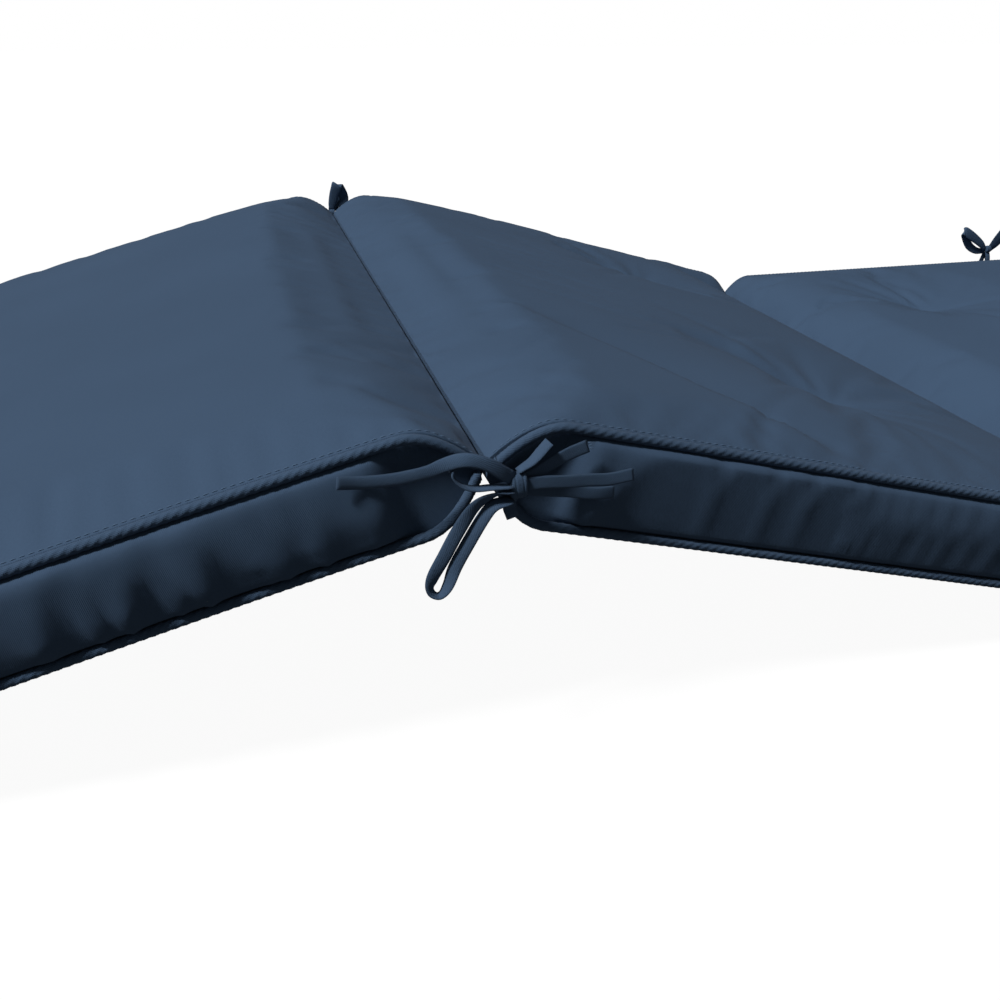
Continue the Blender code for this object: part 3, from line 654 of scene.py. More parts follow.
def crease(s, y, start, end, depth, width):
    """A soft trough between two places: depth * exp(-(across/width)^2), fading in at its start and
    out over its last half, where it also widens."""
    (s0, y0), (s1, y1) = start, end
    length = math.hypot(s1 - s0, y1 - y0)
    ds, dy = (s1 - s0) / length, (y1 - y0) / length
    t = ((s - s0) * ds + (y - y0) * dy) / length
    across = (y - y0) * ds - (s - s0) * dy
    fade = smoothstep(t, *CREASE_IN) * (1 - smoothstep(t, *CREASE_OUT))
    spread = width * (CREASE_WIDEN[0] + CREASE_WIDEN[1] * np.clip(t, 0, 1))
    return -depth * fade * np.exp(-(across / spread) ** 2)


def ledge(s, y, line, depth, wide, steep):
    """A drop along a broken line: depth * exp(-(distance/w)^1.5), with w wide on the line's left and
    steep on its right, and faded at both ends as the root of sin(pi t)."""
    nearest = np.full(s.shape, np.inf)
    left = np.zeros(s.shape, bool)
    share = np.zeros(s.shape)
    for count, ((s0, y0), (s1, y1)) in enumerate(zip(line, line[1:])):
        length = math.hypot(s1 - s0, y1 - y0)
        ds, dy = (s1 - s0) / length, (y1 - y0) / length
        t = np.clip(((s - s0) * ds + (y - y0) * dy) / length, 0, 1)
        distance = np.hypot(s - s0 - t * length * ds, y - y0 - t * length * dy)
        closer = distance < nearest
        nearest = np.where(closer, distance, nearest)
        left = np.where(closer, (y - y0) * ds - (s - s0) * dy > 0, left)
        share = np.where(closer, (count + t) / (len(line) - 1), share)
    fade = np.sqrt(np.sin(math.pi * np.clip(share, 0.02, 0.98)))
    return -depth * fade * np.exp(-(nearest / np.where(left, wide, steep)) ** 1.5)


def gathers(part, s, y, seed):
    """Fine puckers square to the long seams: a sum of sines along s, in patches, times
    (d/reach) e^(1 - d/reach), which is strongest at d = reach from the seam."""
    random = np.random.default_rng(seed)
    near = edge_distances(part, s, y)[0]
    total = np.zeros_like(s)
    for pitch in GATHER_PITCHES:
        phase = random.uniform(0, 2 * math.pi, 2)
        total += np.sin(2 * math.pi * s / pitch + np.where(y > 0, phase[0], phase[1])
                        + GATHER_SLANT * near)
    patchy = 0.5 + 0.5 * np.sin(2 * math.pi * s / GATHER_PATCH + random.uniform(0, 6))
    share = total / len(GATHER_PITCHES) * patchy
    return GATHER_HEIGHT * share * (near / GATHER_REACH) * np.exp(1 - near / GATHER_REACH)


# start, end, depth and width of single creases on each section, as (s, y) in metres
CREASES = {
    "foot": [
        ((0.010, -0.283), (0.060, -0.262), 0.9 * MM, 0.005),
        ((0.012, -0.120), (0.055, -0.140), 0.7 * MM, 0.006),
    ],
    "seat": [
        ((0.250, -0.152), (0.214, -0.276), 1.5 * MM, 0.0050),
        ((0.251, -0.155), (0.232, -0.282), 1.8 * MM, 0.0045),
        ((0.252, -0.158), (0.246, -0.286), 1.2 * MM, 0.0040),
        ((0.254, -0.156), (0.262, -0.280), 1.6 * MM, 0.0050),
        ((0.244, -0.142), (0.170, -0.030), 1.6 * MM, 0.0070),
        ((0.247, 0.152), (0.150, 0.096), 2.4 * MM, 0.0100),
        ((0.246, 0.148), (0.160, 0.040), 1.6 * MM, 0.0060),
        ((0.247, 0.156), (0.130, 0.180), 1.4 * MM, 0.0070),
        ((0.110, -0.135), (0.205, -0.118), 1.1 * MM, 0.0050),
        ((0.196, -0.088), (0.256, -0.060), 1.2 * MM, 0.0050),
        ((0.060, 0.110), (0.150, 0.040), 0.8 * MM, 0.0040),
        ((0.070, 0.060), (0.170, 0.020), 0.8 * MM, 0.0035),
        ((0.075, 0.020), (0.160, -0.040), 0.8 * MM, 0.0040),
        ((0.050, -0.010), (0.140, -0.070), 0.8 * MM, 0.0035),
        ((0.060, -0.060), (0.140, -0.110), 0.7 * MM, 0.0035),
        ((0.120, 0.120), (0.200, 0.060), 0.9 * MM, 0.0045),
        ((0.090, 0.170), (0.150, 0.120), 0.7 * MM, 0.0040),
    ],
    "back": [
        ((0.140, 0.150), (0.062, 0.212), 4.0 * MM, 0.0080),
        ((0.139, 0.152), (0.084, 0.240), 2.6 * MM, 0.0040),
        ((0.141, 0.154), (0.128, 0.250), 3.6 * MM, 0.0045),
        ((0.146, 0.148), (0.226, 0.118), 2.6 * MM, 0.0050),
        ((0.136, 0.147), (0.050, 0.140), 1.3 * MM, 0.0050),
        ((0.134, 0.143), (0.070, 0.096), 1.2 * MM, 0.0050),
        ((0.010, 0.262), (0.052, 0.240), 1.2 * MM, 0.0040),
        ((0.008, 0.280), (0.046, 0.276), 1.0 * MM, 0.0030),
        ((0.140, -0.150), (0.070, -0.205), 2.2 * MM, 0.0080),
        ((0.141, -0.154), (0.150, -0.255), 1.8 * MM, 0.0050),
    ],
}
# broken lines along which the cloth drops to a tuft: line, depth, width on its left and on its right
LEDGES = {
    "foot": [],
    "seat": [
        (((0.060, -0.140), (0.095, -0.196), (0.120, -0.236), (0.146, -0.262), (0.166, -0.286)),
         5.4 * MM, 0.030, 0.0030),
        (((0.250, -0.148), (0.224, -0.128), (0.196, -0.108), (0.158, -0.098)), 6.0 * MM, 0.032, 0.0060),
        (((0.250, 0.152), (0.226, 0.176), (0.200, 0.190), (0.170, 0.196)), 3.6 * MM, 0.024, 0.0050),
    ],
    "back": [],
}
print("creases:", {name: len(rows) for name, rows in CREASES.items()})

# %% [markdown]
# ## Blowing the panels out
# Blender's cloth solver gets the flat panel with its relief, held at every seam and tuft. Gravity is
# off and a small pressure from inside pushes the cloth out. The cloth is cut 0.6 percent longer than
# the panel, so it has something to give. The result is capped, since the cover has to stay in
# the room that the plain solid holds, and its grid is then made twice as fine with a four-point rule.

# %% The cloth solver
SOLVER_FRAMES = 20
PRESSURE = 4.0
EXTRA_CLOTH = 0.006
BENDING = 0.4
PUFF_CAP = 0.005
HELD_RADIUS = 0.006


def puffed(part, s, y, n):
    """Points of the panel after the solver: its grid (s, y, n) with seams and tufts held."""
    rows, columns = s.shape
    panel = add_mesh(part.name + "_panel", np.stack([s, y, n], -1), grid_faces(rows, columns)[:, ::-1])
    held = np.zeros(s.shape, bool)
    held[[0, -1]] = True
    held[:, [0, 1, -2, -1]] = True
    for row, side in tufts_of(part):
        held |= np.hypot(s - row, y - side) < HELD_RADIUS
    group = panel.vertex_groups.new(name="held")
    group.add(np.flatnonzero(held).tolist(), 1.0, "REPLACE")
    cloth = panel.modifiers.new("Cloth", "CLOTH")
    cloth.settings.vertex_group_mass = "held"
    cloth.settings.use_pressure = True
    cloth.settings.uniform_pressure_force = PRESSURE
    cloth.settings.shrink_min = -EXTRA_CLOTH
    cloth.settings.effector_weights.gravity = 0
    cloth.settings.bending_stiffness = BENDING
    cloth.point_cache.frame_end = SOLVER_FRAMES
    for step in range(1, SOLVER_FRAMES + 1):
        bpy.context.scene.frame_set(step)
    shape = panel.evaluated_get(bpy.context.evaluated_depsgraph_get()).data
    flat = np.empty(3 * rows * columns, np.float32)
    shape.vertices.foreach_get("co", flat)
    bpy.context.scene.frame_set(1)
    bpy.data.objects.remove(panel, do_unlink=True)
    moved = flat.reshape(rows, columns, 3) - np.stack([s, y, n], -1)
    size = np.linalg.norm(moved, axis=-1, keepdims=True)
    moved *= np.minimum(1, PUFF_CAP / np.maximum(size, 1e-9))
    print("%s panel moved %.1f mm at most" % (part.name, size.max() / MM))
    return np.stack([s, y, n], -1) + moved


def finer(points, axis):
    """Twice the points along an axis: each new one is (-a + 9b + 9c - d) / 16 of its neighbours."""
    p = np.moveaxis(points, axis, 0)
    padded = np.concatenate([2 * p[:1] - p[1:2], p, 2 * p[-1:] - p[-2:-1]])
    between = (-padded[:-3] + 9 * padded[1:-2] + 9 * padded[2:-1] - padded[3:]) / 16
    out = np.empty((2 * len(p) - 1, *p.shape[1:]))
    out[::2] = p
    out[1::2] = between
    return np.moveaxis(out, 0, axis)


# %% [markdown]
# ## One closed pad
# The top, the boxing and the underside are one closed skin. The boxing is slack, so it hangs between
# its two seams: it stands out to a crest, turns in under it, and gathers in upright folds. The crest
# wanders up and down with the folds, which is what draws their pointed patches of light.

# %% Build the pads
BOXING_LEVELS = np.array([1, 0.94, 0.88, 0.82, 0.76, 0.69, 0.62, 0.54, 0.45, 0.36, 0.27, 0.18, 0.09, 0])
BOXING_FILL = (0.030, 0.045)
BOXING_SEAM = (0.08, 0.26)
NOTCH_OUT = 0.0037
CREST_OUT = 0.0036
RIDGE_GAIN = 1.4
CREST_REST = {"foot": 0.80, "seat": 0.76, "back": 0.66}
CREST_LOWEST = -0.78
CREST_ROUND = 1.6
CREST_DRAW = (0.8, 1.3)
RIDGE_TOP = (0.55, 0.95)
RIDGE_FOOT = (0.25, 0.35)
FIRST_FOLD = 0.020
PAST_DRAWN = 0.012
FOLD_SEED = 20
FOLD_PITCH = (0.010, 0.030)
FOLD_LOWEST = (-0.75, 0.3)
FOLD_HEIGHT = (0.3 * MM, 1.8 * MM)
FOLD_WIDTH = (0.003, 0.010)
FOLD_LEAN = (-0.004, 0.006)
# folds drawn one by one on the near side: s, the level of the lowest point, height, half width and
# lean (s gained for each half thickness of level), in metres
NEAR_FOLDS = {
    "foot": [
        (0.0350, -0.30, 0.6 * MM, 0.014, 0.004),
        (0.0520, -0.40, 0.7 * MM, 0.012, 0.004),
        (0.0710, -0.70, 0.7 * MM, 0.006, 0.004),
        (0.0850, -0.66, 0.7 * MM, 0.005, 0.003),
        (0.0950, -0.50, 0.9 * MM, 0.008, 0.006),
        (0.1150, -0.72, 2.2 * MM, 0.0060, 0.002),
        (0.1255, -0.62, 1.0 * MM, 0.0045, 0.001),
        (0.1420, -0.70, 1.9 * MM, 0.0065, -0.003),
        (0.1555, -0.62, 1.3 * MM, 0.0035, -0.001),
        (0.1770, -0.70, 1.6 * MM, 0.0095, 0.001),
        (0.2080, -0.60, 1.2 * MM, 0.010, 0.004),
    ],
    "seat": [
        (0.0300, -0.40, 0.8 * MM, 0.0040, 0.0),
        (0.0480, -0.66, 1.0 * MM, 0.0100, 0.004),
        (0.0970, 0.12, 0.4 * MM, 0.0040, 0.0),
        (0.1240, 0.12, 0.4 * MM, 0.0030, 0.0),
        (0.1430, 0.10, 0.5 * MM, 0.0030, 0.0),
        (0.1670, -0.05, 0.9 * MM, 0.0016, -0.003),
        (0.1760, -0.10, 0.5 * MM, 0.0060, 0.0),
        (0.1860, -0.08, 0.4 * MM, 0.0060, 0.0),
        (0.1960, -0.10, 0.6 * MM, 0.0060, 0.001),
        (0.2080, -0.10, 0.5 * MM, 0.0060, 0.0),
        (0.2200, -0.14, 0.6 * MM, 0.0070, 0.001),
        (0.2340, -0.10, 0.5 * MM, 0.0080, 0.0),
        (0.2500, -0.14, 0.7 * MM, 0.0080, 0.002),
    ],
    "back": [],
}


def folds_round(part, run):
    """Rows like those of NEAR_FOLDS all the way round: the drawn ones, then random ones past them."""
    random = np.random.default_rng(len(part.name) + FOLD_SEED)
    rows = list(NEAR_FOLDS[part.name])
    place = rows[-1][0] + PAST_DRAWN if rows else FIRST_FOLD
    while place < run.max():
        place += random.uniform(*FOLD_PITCH)
        rows.append((place, *[random.uniform(*span)
                              for span in (FOLD_LOWEST, FOLD_HEIGHT, FOLD_WIDTH, FOLD_LEAN)]))
    return rows


def boxing_push(part, run, level):
    """How far the boxing stands out of the seam. It bulges to a crest, 1 - t^1.6 either side of the
    crest's level, and sinks under it. Each fold is a ridge, height * exp(-(off/width)^2), and draws
    the crest down to a point, as exp(-|off / (0.8 width)|^1.3)."""
    crest = np.full(np.broadcast(run, level).shape, CREST_REST[part.name])
    ridges = 0 * crest
    for place, lowest, height, width, lean in folds_round(part, run):
        off = run - place - lean * level
        drawn = np.exp(-np.abs(off / (CREST_DRAW[0] * width)) ** CREST_DRAW[1])
        crest = crest + (lowest - CREST_REST[part.name]) * drawn
        foot = smoothstep(level, lowest - RIDGE_FOOT[0], lowest + RIDGE_FOOT[1])
        body = (1 - smoothstep(level, *RIDGE_TOP)) * foot
        ridges = ridges + RIDGE_GAIN * height * body * np.exp(-(off / width) ** 2)
    crest = np.maximum(crest, CREST_LOWEST)
    t = np.where(level > crest, (level - crest) / (1 - crest), (crest - level) / (1 + crest))
    bulge = CREST_OUT * (1 - np.clip(t, 0, 1) ** CREST_ROUND)
    return smoothstep(1 - np.abs(level), *BOXING_SEAM) * (NOTCH_OUT + bulge + ridges)


def fullness(part, s):
    """0 where the boxing is drawn in at a sewn fold, 1 where it stands out at full width."""
    full = smoothstep(s, *BOXING_FILL)
    if not part.boxed:
        full = full * smoothstep(part.length - s, *BOXING_FILL)
    return full


def border_places(rows, columns):
    """Grid places once round a section: near side, end, far side, first fold."""
    i = np.concatenate([np.arange(rows), np.full(columns - 1, rows - 1),
                        np.arange(rows - 2, -1, -1), np.zeros(columns - 2, int)])
    j = np.concatenate([np.zeros(rows, int), np.arange(1, columns),
                        np.full(rows - 1, columns - 1), np.arange(columns - 2, 0, -1)])
    return i, j


def outward(part, s, y):
    """Unit directions out of the seam in plan: square to the sides and the end, turning round the
    corners' arcs, and level with the side at a sewn fold."""
    if part.boxed:
        centre = part.length - CORNER
        across = WIDTH / 2 - CORNER
        ds = np.clip(s - centre, 0, None)
        dy = np.sign(y) * np.clip(np.abs(y) - across, 0, None)
        out = np.stack([ds, dy], -1)
    else:
        out = np.stack([0 * s, np.sign(y) * (np.abs(y) > WIDTH / 2 - CORNER)], -1)
    length = np.linalg.norm(out, axis=-1, keepdims=True)
    return np.where(length > 1e-9, out / np.maximum(length, 1e-9), 0)


def cover(part):
    """One section's skin: simulated top, folded boxing and level underside, in one closed mesh.
    Returns s, y and the height of the top's points."""
    s, y = cover_grid(part)
    start = top_height(part, s, y)
    shaped = puffed(part, s, y, start)
    shaped = finer(finer(shaped, 0), 1)
    s, y, top = np.moveaxis(shaped, -1, 0)
    rows, columns = s.shape
    top = top + spokes(part, s, y, SPOKE_SEED + len(part.tufts)) + gathers(part, s, y, 3)
    for start, end, depth, width in CREASES[part.name]:
        top = top + crease(s, y, start, end, depth, width)
    for line, depth, wide, steep in LEDGES[part.name]:
        top = top + ledge(s, y, line, depth, wide, steep)
    at = border_places(rows, columns)
    edge = half_edge(part, s)
    top[at] = edge[at]
    under = -edge - under_relief(part, s, y)
    under[at] = -edge[at]

    out = outward(part, s[at], y[at])
    full = fullness(part, s[at])
    steps = np.hypot(np.diff(s[at], append=s[at][:1]), np.diff(y[at], append=y[at][:1]))
    run = np.concatenate([[0], np.cumsum(steps)[:-1]])
    levels = np.concatenate([BOXING_LEVELS, -BOXING_LEVELS[-2::-1]])[1:-1, None]
    push = boxing_push(part, run[None], levels) * full
    side_s = s[at] + push * out[:, 0]
    side_y = y[at] + push * out[:, 1]
    sides = part.place(side_s, side_y, levels * edge[at])

    points = np.concatenate([part.place(s, y, top).reshape(-1, 3),
                             part.place(s, y, under).reshape(-1, 3), sides.reshape(-1, 3)])
    size, count = rows * columns, len(run)
    grid = np.arange(size).reshape(rows, columns)
    quads = np.stack([grid[:-1, :-1], grid[1:, :-1], grid[1:, 1:], grid[:-1, 1:]], -1).reshape(-1, 4)
    ring = np.vstack([grid[at], 2 * size + np.arange(len(levels) * count).reshape(-1, count),
                      size + grid[at]])
    after = np.roll(ring, -1, axis=1)
    wall = np.stack([ring[:-1], ring[1:], after[1:], after[:-1]], -1).reshape(-1, 4)
    faces = np.concatenate([quads, size + quads[:, ::-1], wall])
    flat = np.stack([s, y], -1).reshape(-1, 2)
    all_levels = np.concatenate([[1.0], levels[:, 0], [-1.0]])
    u = np.broadcast_to(np.append(run, run[-1] + steps[-1]), (len(all_levels), count + 1))
    v = np.broadcast_to(all_levels[:, None] * HALF_EDGE, u.shape)
    pair = np.stack([u, v], -1)
    wall_uv = np.stack([pair[:-1, :-1], pair[1:, :-1], pair[1:, 1:], pair[:-1, 1:]],
                       2).reshape(-1, 2)
    uv = np.concatenate([flat[quads].reshape(-1, 2), flat[quads[:, ::-1]].reshape(-1, 2), wall_uv])
    made = add_mesh(part.name + "_cover", points, faces, uv)
    finish_piece(made, [part.name + "_pad"], COVER_CLOTH)
    print(made.name, "triangles", 2 * len(faces))
    return s, y, top


COVERS = {part.name: cover(part) for part in SECTIONS}

# %% [markdown]
# ## Corded piping
# Piping is a cord wrapped in cloth cut on the bias, so its weave climbs round it and pulls into
# slanting ribs. A plain tube would need many faces for that. Here the outline itself turns as it is
# carried along: four ribs of four points each, so every rib is followed by its own line of points.

# %% Carry the corded outline round each seam
RIBS = 4
RIB_POINTS = 4
RIB_HEIGHT = 0.105
RIB_TURN = 0.0165
PIPING_STEP = 0.0011
PIPING_START = 0.0028
PIPING_LAG = 0.002
PIPING_REST = 0.0003
PIPING_CORNER = 16
RIB_LEAST = 0.25
RIB_FADE = (0.012, 0.040)


def piping_plan(part, ends):
    """Plan (s, y) of a run of piping at even steps: near side, round the end and back, or one side."""
    inset = PIPING / 2
    half = WIDTH / 2 - inset
    if ends is not None:
        s = np.arange(PIPING_START, part.length - PIPING_START, PIPING_STEP)
        return s, np.full_like(s, ends * half)
    radius = CORNER - inset
    turn = np.linspace(0, math.pi / 2, PIPING_CORNER)
    corner = np.stack([part.length - CORNER + radius * np.sin(turn),
                       -(WIDTH / 2 - CORNER) - radius * np.cos(turn)], -1)
    line = np.vstack([[(PIPING_START, -half)], corner, corner[::-1] * (1, -1), [(PIPING_START, half)]])
    run = np.concatenate([[0], np.cumsum(np.linalg.norm(np.diff(line, axis=0), axis=1))])
    even = np.arange(0, run[-1], PIPING_STEP)
    return np.interp(even, run, line[:, 0]), np.interp(even, run, line[:, 1])


def corded(name, part, level, ends=None):
    """A turning outline with radius r (1 - h (1 - cos 4t) / 2), carried along the seam at the given
    level."""
    s, y = piping_plan(part, ends)
    lift = np.maximum(half_edge(part, s, PIPING_LAG) - PIPING_DROP, PIPING / 2 + PIPING_REST)
    path = part.place(s, y, level * lift)
    up = part.place(s, y, level * lift + MM) - path
    run = np.gradient(path, axis=0)
    run /= np.linalg.norm(run, axis=1, keepdims=True)
    across = np.cross(run, up)
    across /= np.linalg.norm(across, axis=1, keepdims=True)
    up = np.cross(across, run)
    sides = RIBS * RIB_POINTS
    rest = np.arange(sides) * 2 * math.pi / sides
    length = np.concatenate([[0], np.cumsum(np.linalg.norm(np.diff(path, axis=0), axis=1))])
    turn = rest[None] + 2 * math.pi * length[:, None] / RIB_TURN
    near = np.minimum(s, part.length - s) if ends is not None else s
    ribbed = RIB_HEIGHT * (RIB_LEAST + (1 - RIB_LEAST) * smoothstep(near, *RIB_FADE))
    radius = PIPING / 2 * (1 - ribbed[:, None] * (0.5 - 0.5 * np.cos(RIBS * rest))[None])
    points = (path[:, None] + (radius * np.cos(turn))[..., None] * across[:, None]
              + (radius * np.sin(turn))[..., None] * up[:, None])
    faces = grid_faces(len(path), sides, closed=True)
    u = np.broadcast_to(length[:, None], (len(path), sides + 1))
    v = np.hstack([turn, turn[:, :1] + 2 * math.pi]) * PIPING / 2
    made = add_mesh(name + "_cord", points, faces, grid_uv(u, v))
    close_ends(made, len(path), sides)
    finish_piece(made, [name], PIPING_CLOTH)


for part in SECTIONS:
    for level, word in ((1, "top"), (-1, "bottom")):
        if part.boxed:
            corded("%s_piping_%s" % (part.name, word), part, level)
        else:
            corded("%s_piping_near_%s" % (part.name, word), part, level, -1)
            corded("%s_piping_far_%s" % (part.name, word), part, level, 1)

# %% [markdown]
# ## Sewing
# A line of small stitches holds the piping beside the seam, a bar tack sits at the bottom of each tuft,
# and the cut end of one tail has begun to fray. Each of these is a short thread: a thin spindle between
# two points, raised a little in its middle. One function makes as many of them as there are rows.

# %% Stitches, bar tacks and frayed ends
THREAD_RINGS = 5
THREAD_SIDES = 6
STITCH_PITCH = 0.0034
STITCH_FILL = 0.74
STITCH_WIDTH = 0.00052
STITCH_RISE = 0.22
STITCH_COLUMN = 2
TACK_THREADS = 5
TACK_SIZE = (0.009, 0.0011)
TACK_WIDTH = 0.0009
TACK_LIFT = 0.0007
TACK_RISE = (0, 0, 0.6 * MM)
SPINDLE = (0.02, 0.98)
SPINDLE_ROUND = 0.4
# frayed threads of the high tail, in millimetres: place up the cut end, length and lean
FRAYS = ((0.0, 1.9, 0.6), (0.5, 2.4, -0.2), (1.0, 2.1, 0.9), (1.4, 2.8, -0.6), (1.9, 1.6, 0.3),
         (2.3, 3.1, -1.2))
FRAY_AT = (38.2, 5.6, 6.4)
FRAY_SPREAD = 1.5
FRAY_OUTWARD = (0.3, 0.1)
FRAY_WIDTH = 0.00035
FRAY_RISE = (0, 0, 0.3 * MM)


def threads(name, starts, ends, rise, width, replaced):
    """Spindles from starts to ends, raised by rise * sin(pi t), of radius width/2 * sin(pi t)^0.4.
    Their open ends are filled and the faces turned outwards."""
    starts, ends, rise = [np.asarray(rows, float) for rows in (starts, ends, rise)]
    t = np.linspace(*SPINDLE, THREAD_RINGS)
    arch = np.sin(math.pi * t)
    middle = (starts[:, None] + t[None, :, None] * (ends - starts)[:, None]
              + arch[None, :, None] * rise[:, None])
    run = (ends - starts) / np.linalg.norm(ends - starts, axis=1, keepdims=True)
    up = rise / np.linalg.norm(rise, axis=1, keepdims=True)
    across = np.cross(run, up)
    across /= np.linalg.norm(across, axis=1, keepdims=True)
    up = np.cross(across, run)
    turn = np.arange(THREAD_SIDES) * 2 * math.pi / THREAD_SIDES
    outline = (np.cos(turn)[None, :, None] * across[:, None]
               + np.sin(turn)[None, :, None] * up[:, None])
    radius = width / 2 * arch ** SPINDLE_ROUND
    points = middle[:, :, None] + radius[None, :, None, None] * outline[:, None]
    one = grid_faces(THREAD_RINGS, THREAD_SIDES, closed=True)
    each = THREAD_RINGS * THREAD_SIDES
    faces = (one[None] + each * np.arange(len(starts))[:, None, None]).reshape(-1, 4)
    made = add_mesh(name, points, faces)
    shell = bmesh.new()
    shell.from_mesh(made.data)
    bmesh.ops.holes_fill(shell, edges=shell.edges, sides=THREAD_SIDES)
    bmesh.ops.recalc_face_normals(shell, faces=shell.faces)
    shell.to_mesh(made.data)
    shell.free()
    finish_piece(made, replaced, THREAD)
    print(name, "threads", len(starts))


def seam_stitches(part, s, y, top):
    """Stitches at an even pitch along a line just inside the seam: near side, end and far side. The
    unboxed section has none along its end, which is sewn into the fold."""
    k = STITCH_COLUMN
    columns = s.shape[1]
    last = len(s) - 1 - (k if part.boxed else 0)
    i = np.concatenate([np.arange(0, last), np.full(columns - 2 * k, last),
                        np.arange(last - 1, -1, -1)])
    j = np.concatenate([np.full(last, k), np.arange(k, columns - k),
                        np.full(last, columns - 1 - k)])
    line = part.place(s[i, j], y[i, j], top[i, j])
    lifted = part.place(s[i, j], y[i, j], top[i, j] + MM)
    run = np.concatenate([[0], np.cumsum(np.linalg.norm(np.diff(line, axis=0), axis=1))])
    at = np.arange(STITCH_PITCH, run[-1] - STITCH_PITCH, STITCH_PITCH)
    if not part.boxed:
        at = at[(at < run[last - 1] - STITCH_PITCH) | (at > run[last + columns - 2 * k])]
    starts, ends = [np.stack([np.interp(at + shift, run, axis) for axis in line.T], -1)
                    for shift in (0, STITCH_PITCH * STITCH_FILL)]
    up = np.stack([np.interp(at, run, axis) for axis in (lifted - line).T], -1)
    threads(part.name + "_stitches", starts, ends, STITCH_RISE * up, STITCH_WIDTH,
            [part.name + "_pad"])


def bar_tacks(part, s, y, top):
    """A few long threads side by side at the bottom of every tuft."""
    starts, ends = [], []
    for row, side in tufts_of(part):
        i, j = np.unravel_index(np.argmin(np.hypot(s - row, y - side)), s.shape)
        shift = (np.arange(TACK_THREADS) - (TACK_THREADS - 1) / 2) * TACK_SIZE[1]
        for way, found in ((-1, starts), (1, ends)):
            found.extend(part.place(row + way * TACK_SIZE[0] / 2 + 0 * shift, side + shift,
                                    top[i, j] + TACK_LIFT + 0 * shift))
    threads(part.name + "_tacks", starts, ends, np.tile(TACK_RISE, (len(starts), 1)), TACK_WIDTH,
            [part.name + "_pad"])


def frayed_end():
    """A row of loose threads at the cut end of the bow's high tail."""
    up, length, lean = np.array(FRAYS).T
    x, outward, z = FRAY_AT
    root = np.stack([x + 0 * up, outward + 0 * up, z + FRAY_SPREAD * up], -1)
    tip = root + np.stack([length, FRAY_OUTWARD[0] + FRAY_OUTWARD[1] * length, lean], -1)
    threads("fold1_near_frays", tie_place(FOLD1, -1, root), tie_place(FOLD1, -1, tip),
            np.tile(FRAY_RISE, (len(FRAYS), 1)), FRAY_WIDTH, ["fold1_near_tail_high"])


for part in SECTIONS:
    seam_stitches(part, *COVERS[part.name])
    bar_tacks(part, *COVERS[part.name])
frayed_end()

# %% [markdown]
# ## Materials
# The cover, the piping and the ties are the same navy cotton and the thread is a lighter one, so the
# weave is one node group. It reads the pieces' own UV map, which is in metres, and builds a twill from
# two sets of threads and their diagonal, broken up by noise. The group puts out a height for the bump
# and a tone for the colour. Roughness and sheen are the same all over, so they are set on the shader
# itself.

# %% The weave group
THREAD_SHARE = 0.35
DIAGONAL_SHARE = 0.45
FUZZ_SHARE = 1.2
FUZZ_SCALE = 900
FUZZ_DETAIL = 3
PATCH_SCALE = 9
PATCH_DETAIL = 5
TONE_SHARES = (0.6, 0.5)


def socket(tree, name, kind, way, value=None):
    """One named socket on a group's interface."""
    made = tree.interface.new_socket(name=name, in_out=way, socket_type=kind)
    if value is not None:
        made.default_value = value
    return made


def math_node(tree, operation, a, b=None, c=None):
    """A Math node whose inputs are numbers or other sockets."""
    node = tree.nodes.new("ShaderNodeMath")
    node.operation = operation
    for slot, value in zip(node.inputs, (a, b, c)):
        if value is None:
            continue
        if isinstance(value, (int, float)):
            slot.default_value = value
        else:
            tree.links.new(value, slot)
    return node.outputs[0]


def weave_group():
    """Height = warp and weft sines + their diagonal + noise; Tone = slow patches + thread ends."""
    tree = bpy.data.node_groups.new("cotton_weave", "ShaderNodeTree")
    socket(tree, "Thread", "NodeSocketFloat", "INPUT", 0.0005)
    socket(tree, "Height", "NodeSocketFloat", "OUTPUT")
    socket(tree, "Tone", "NodeSocketFloat", "OUTPUT")
    inside = tree.nodes.new("NodeGroupInput")
    outside = tree.nodes.new("NodeGroupOutput")
    place = tree.nodes.new("ShaderNodeUVMap")
    place.uv_map = "cloth"
    parts = tree.nodes.new("ShaderNodeSeparateXYZ")
    tree.links.new(place.outputs["UV"], parts.inputs[0])
    turns = math_node(tree, "DIVIDE", 2 * math.pi, inside.outputs["Thread"])
    u = math_node(tree, "MULTIPLY", parts.outputs["X"], turns)
    v = math_node(tree, "MULTIPLY", parts.outputs["Y"], turns)
    woven = math_node(tree, "MULTIPLY", math_node(tree, "SINE", u), math_node(tree, "SINE", v))
    diagonal = math_node(tree, "SINE", math_node(tree, "MULTIPLY", math_node(tree, "ADD", u, v), 0.5))
    fuzz = tree.nodes.new("ShaderNodeTexNoise")
    fuzz.inputs["Scale"].default_value = FUZZ_SCALE
    fuzz.inputs["Detail"].default_value = FUZZ_DETAIL
    tree.links.new(place.outputs["UV"], fuzz.inputs["Vector"])
    rough = math_node(tree, "MULTIPLY", fuzz.outputs["Fac"], FUZZ_SHARE)
    height = math_node(tree, "ADD", math_node(tree, "MULTIPLY_ADD", woven, THREAD_SHARE, rough),
                       math_node(tree, "MULTIPLY", diagonal, DIAGONAL_SHARE))
    tree.links.new(height, outside.inputs["Height"])
    patch = tree.nodes.new("ShaderNodeTexNoise")
    patch.inputs["Scale"].default_value = PATCH_SCALE
    patch.inputs["Detail"].default_value = PATCH_DETAIL
    where = tree.nodes.new("ShaderNodeTexCoord")
    tree.links.new(where.outputs["Object"], patch.inputs["Vector"])
    tone = math_node(tree, "MULTIPLY_ADD", patch.outputs["Fac"], TONE_SHARES[0],
                     math_node(tree, "MULTIPLY", fuzz.outputs["Fac"], TONE_SHARES[1]))
    tree.links.new(tone, outside.inputs["Tone"])
    return tree


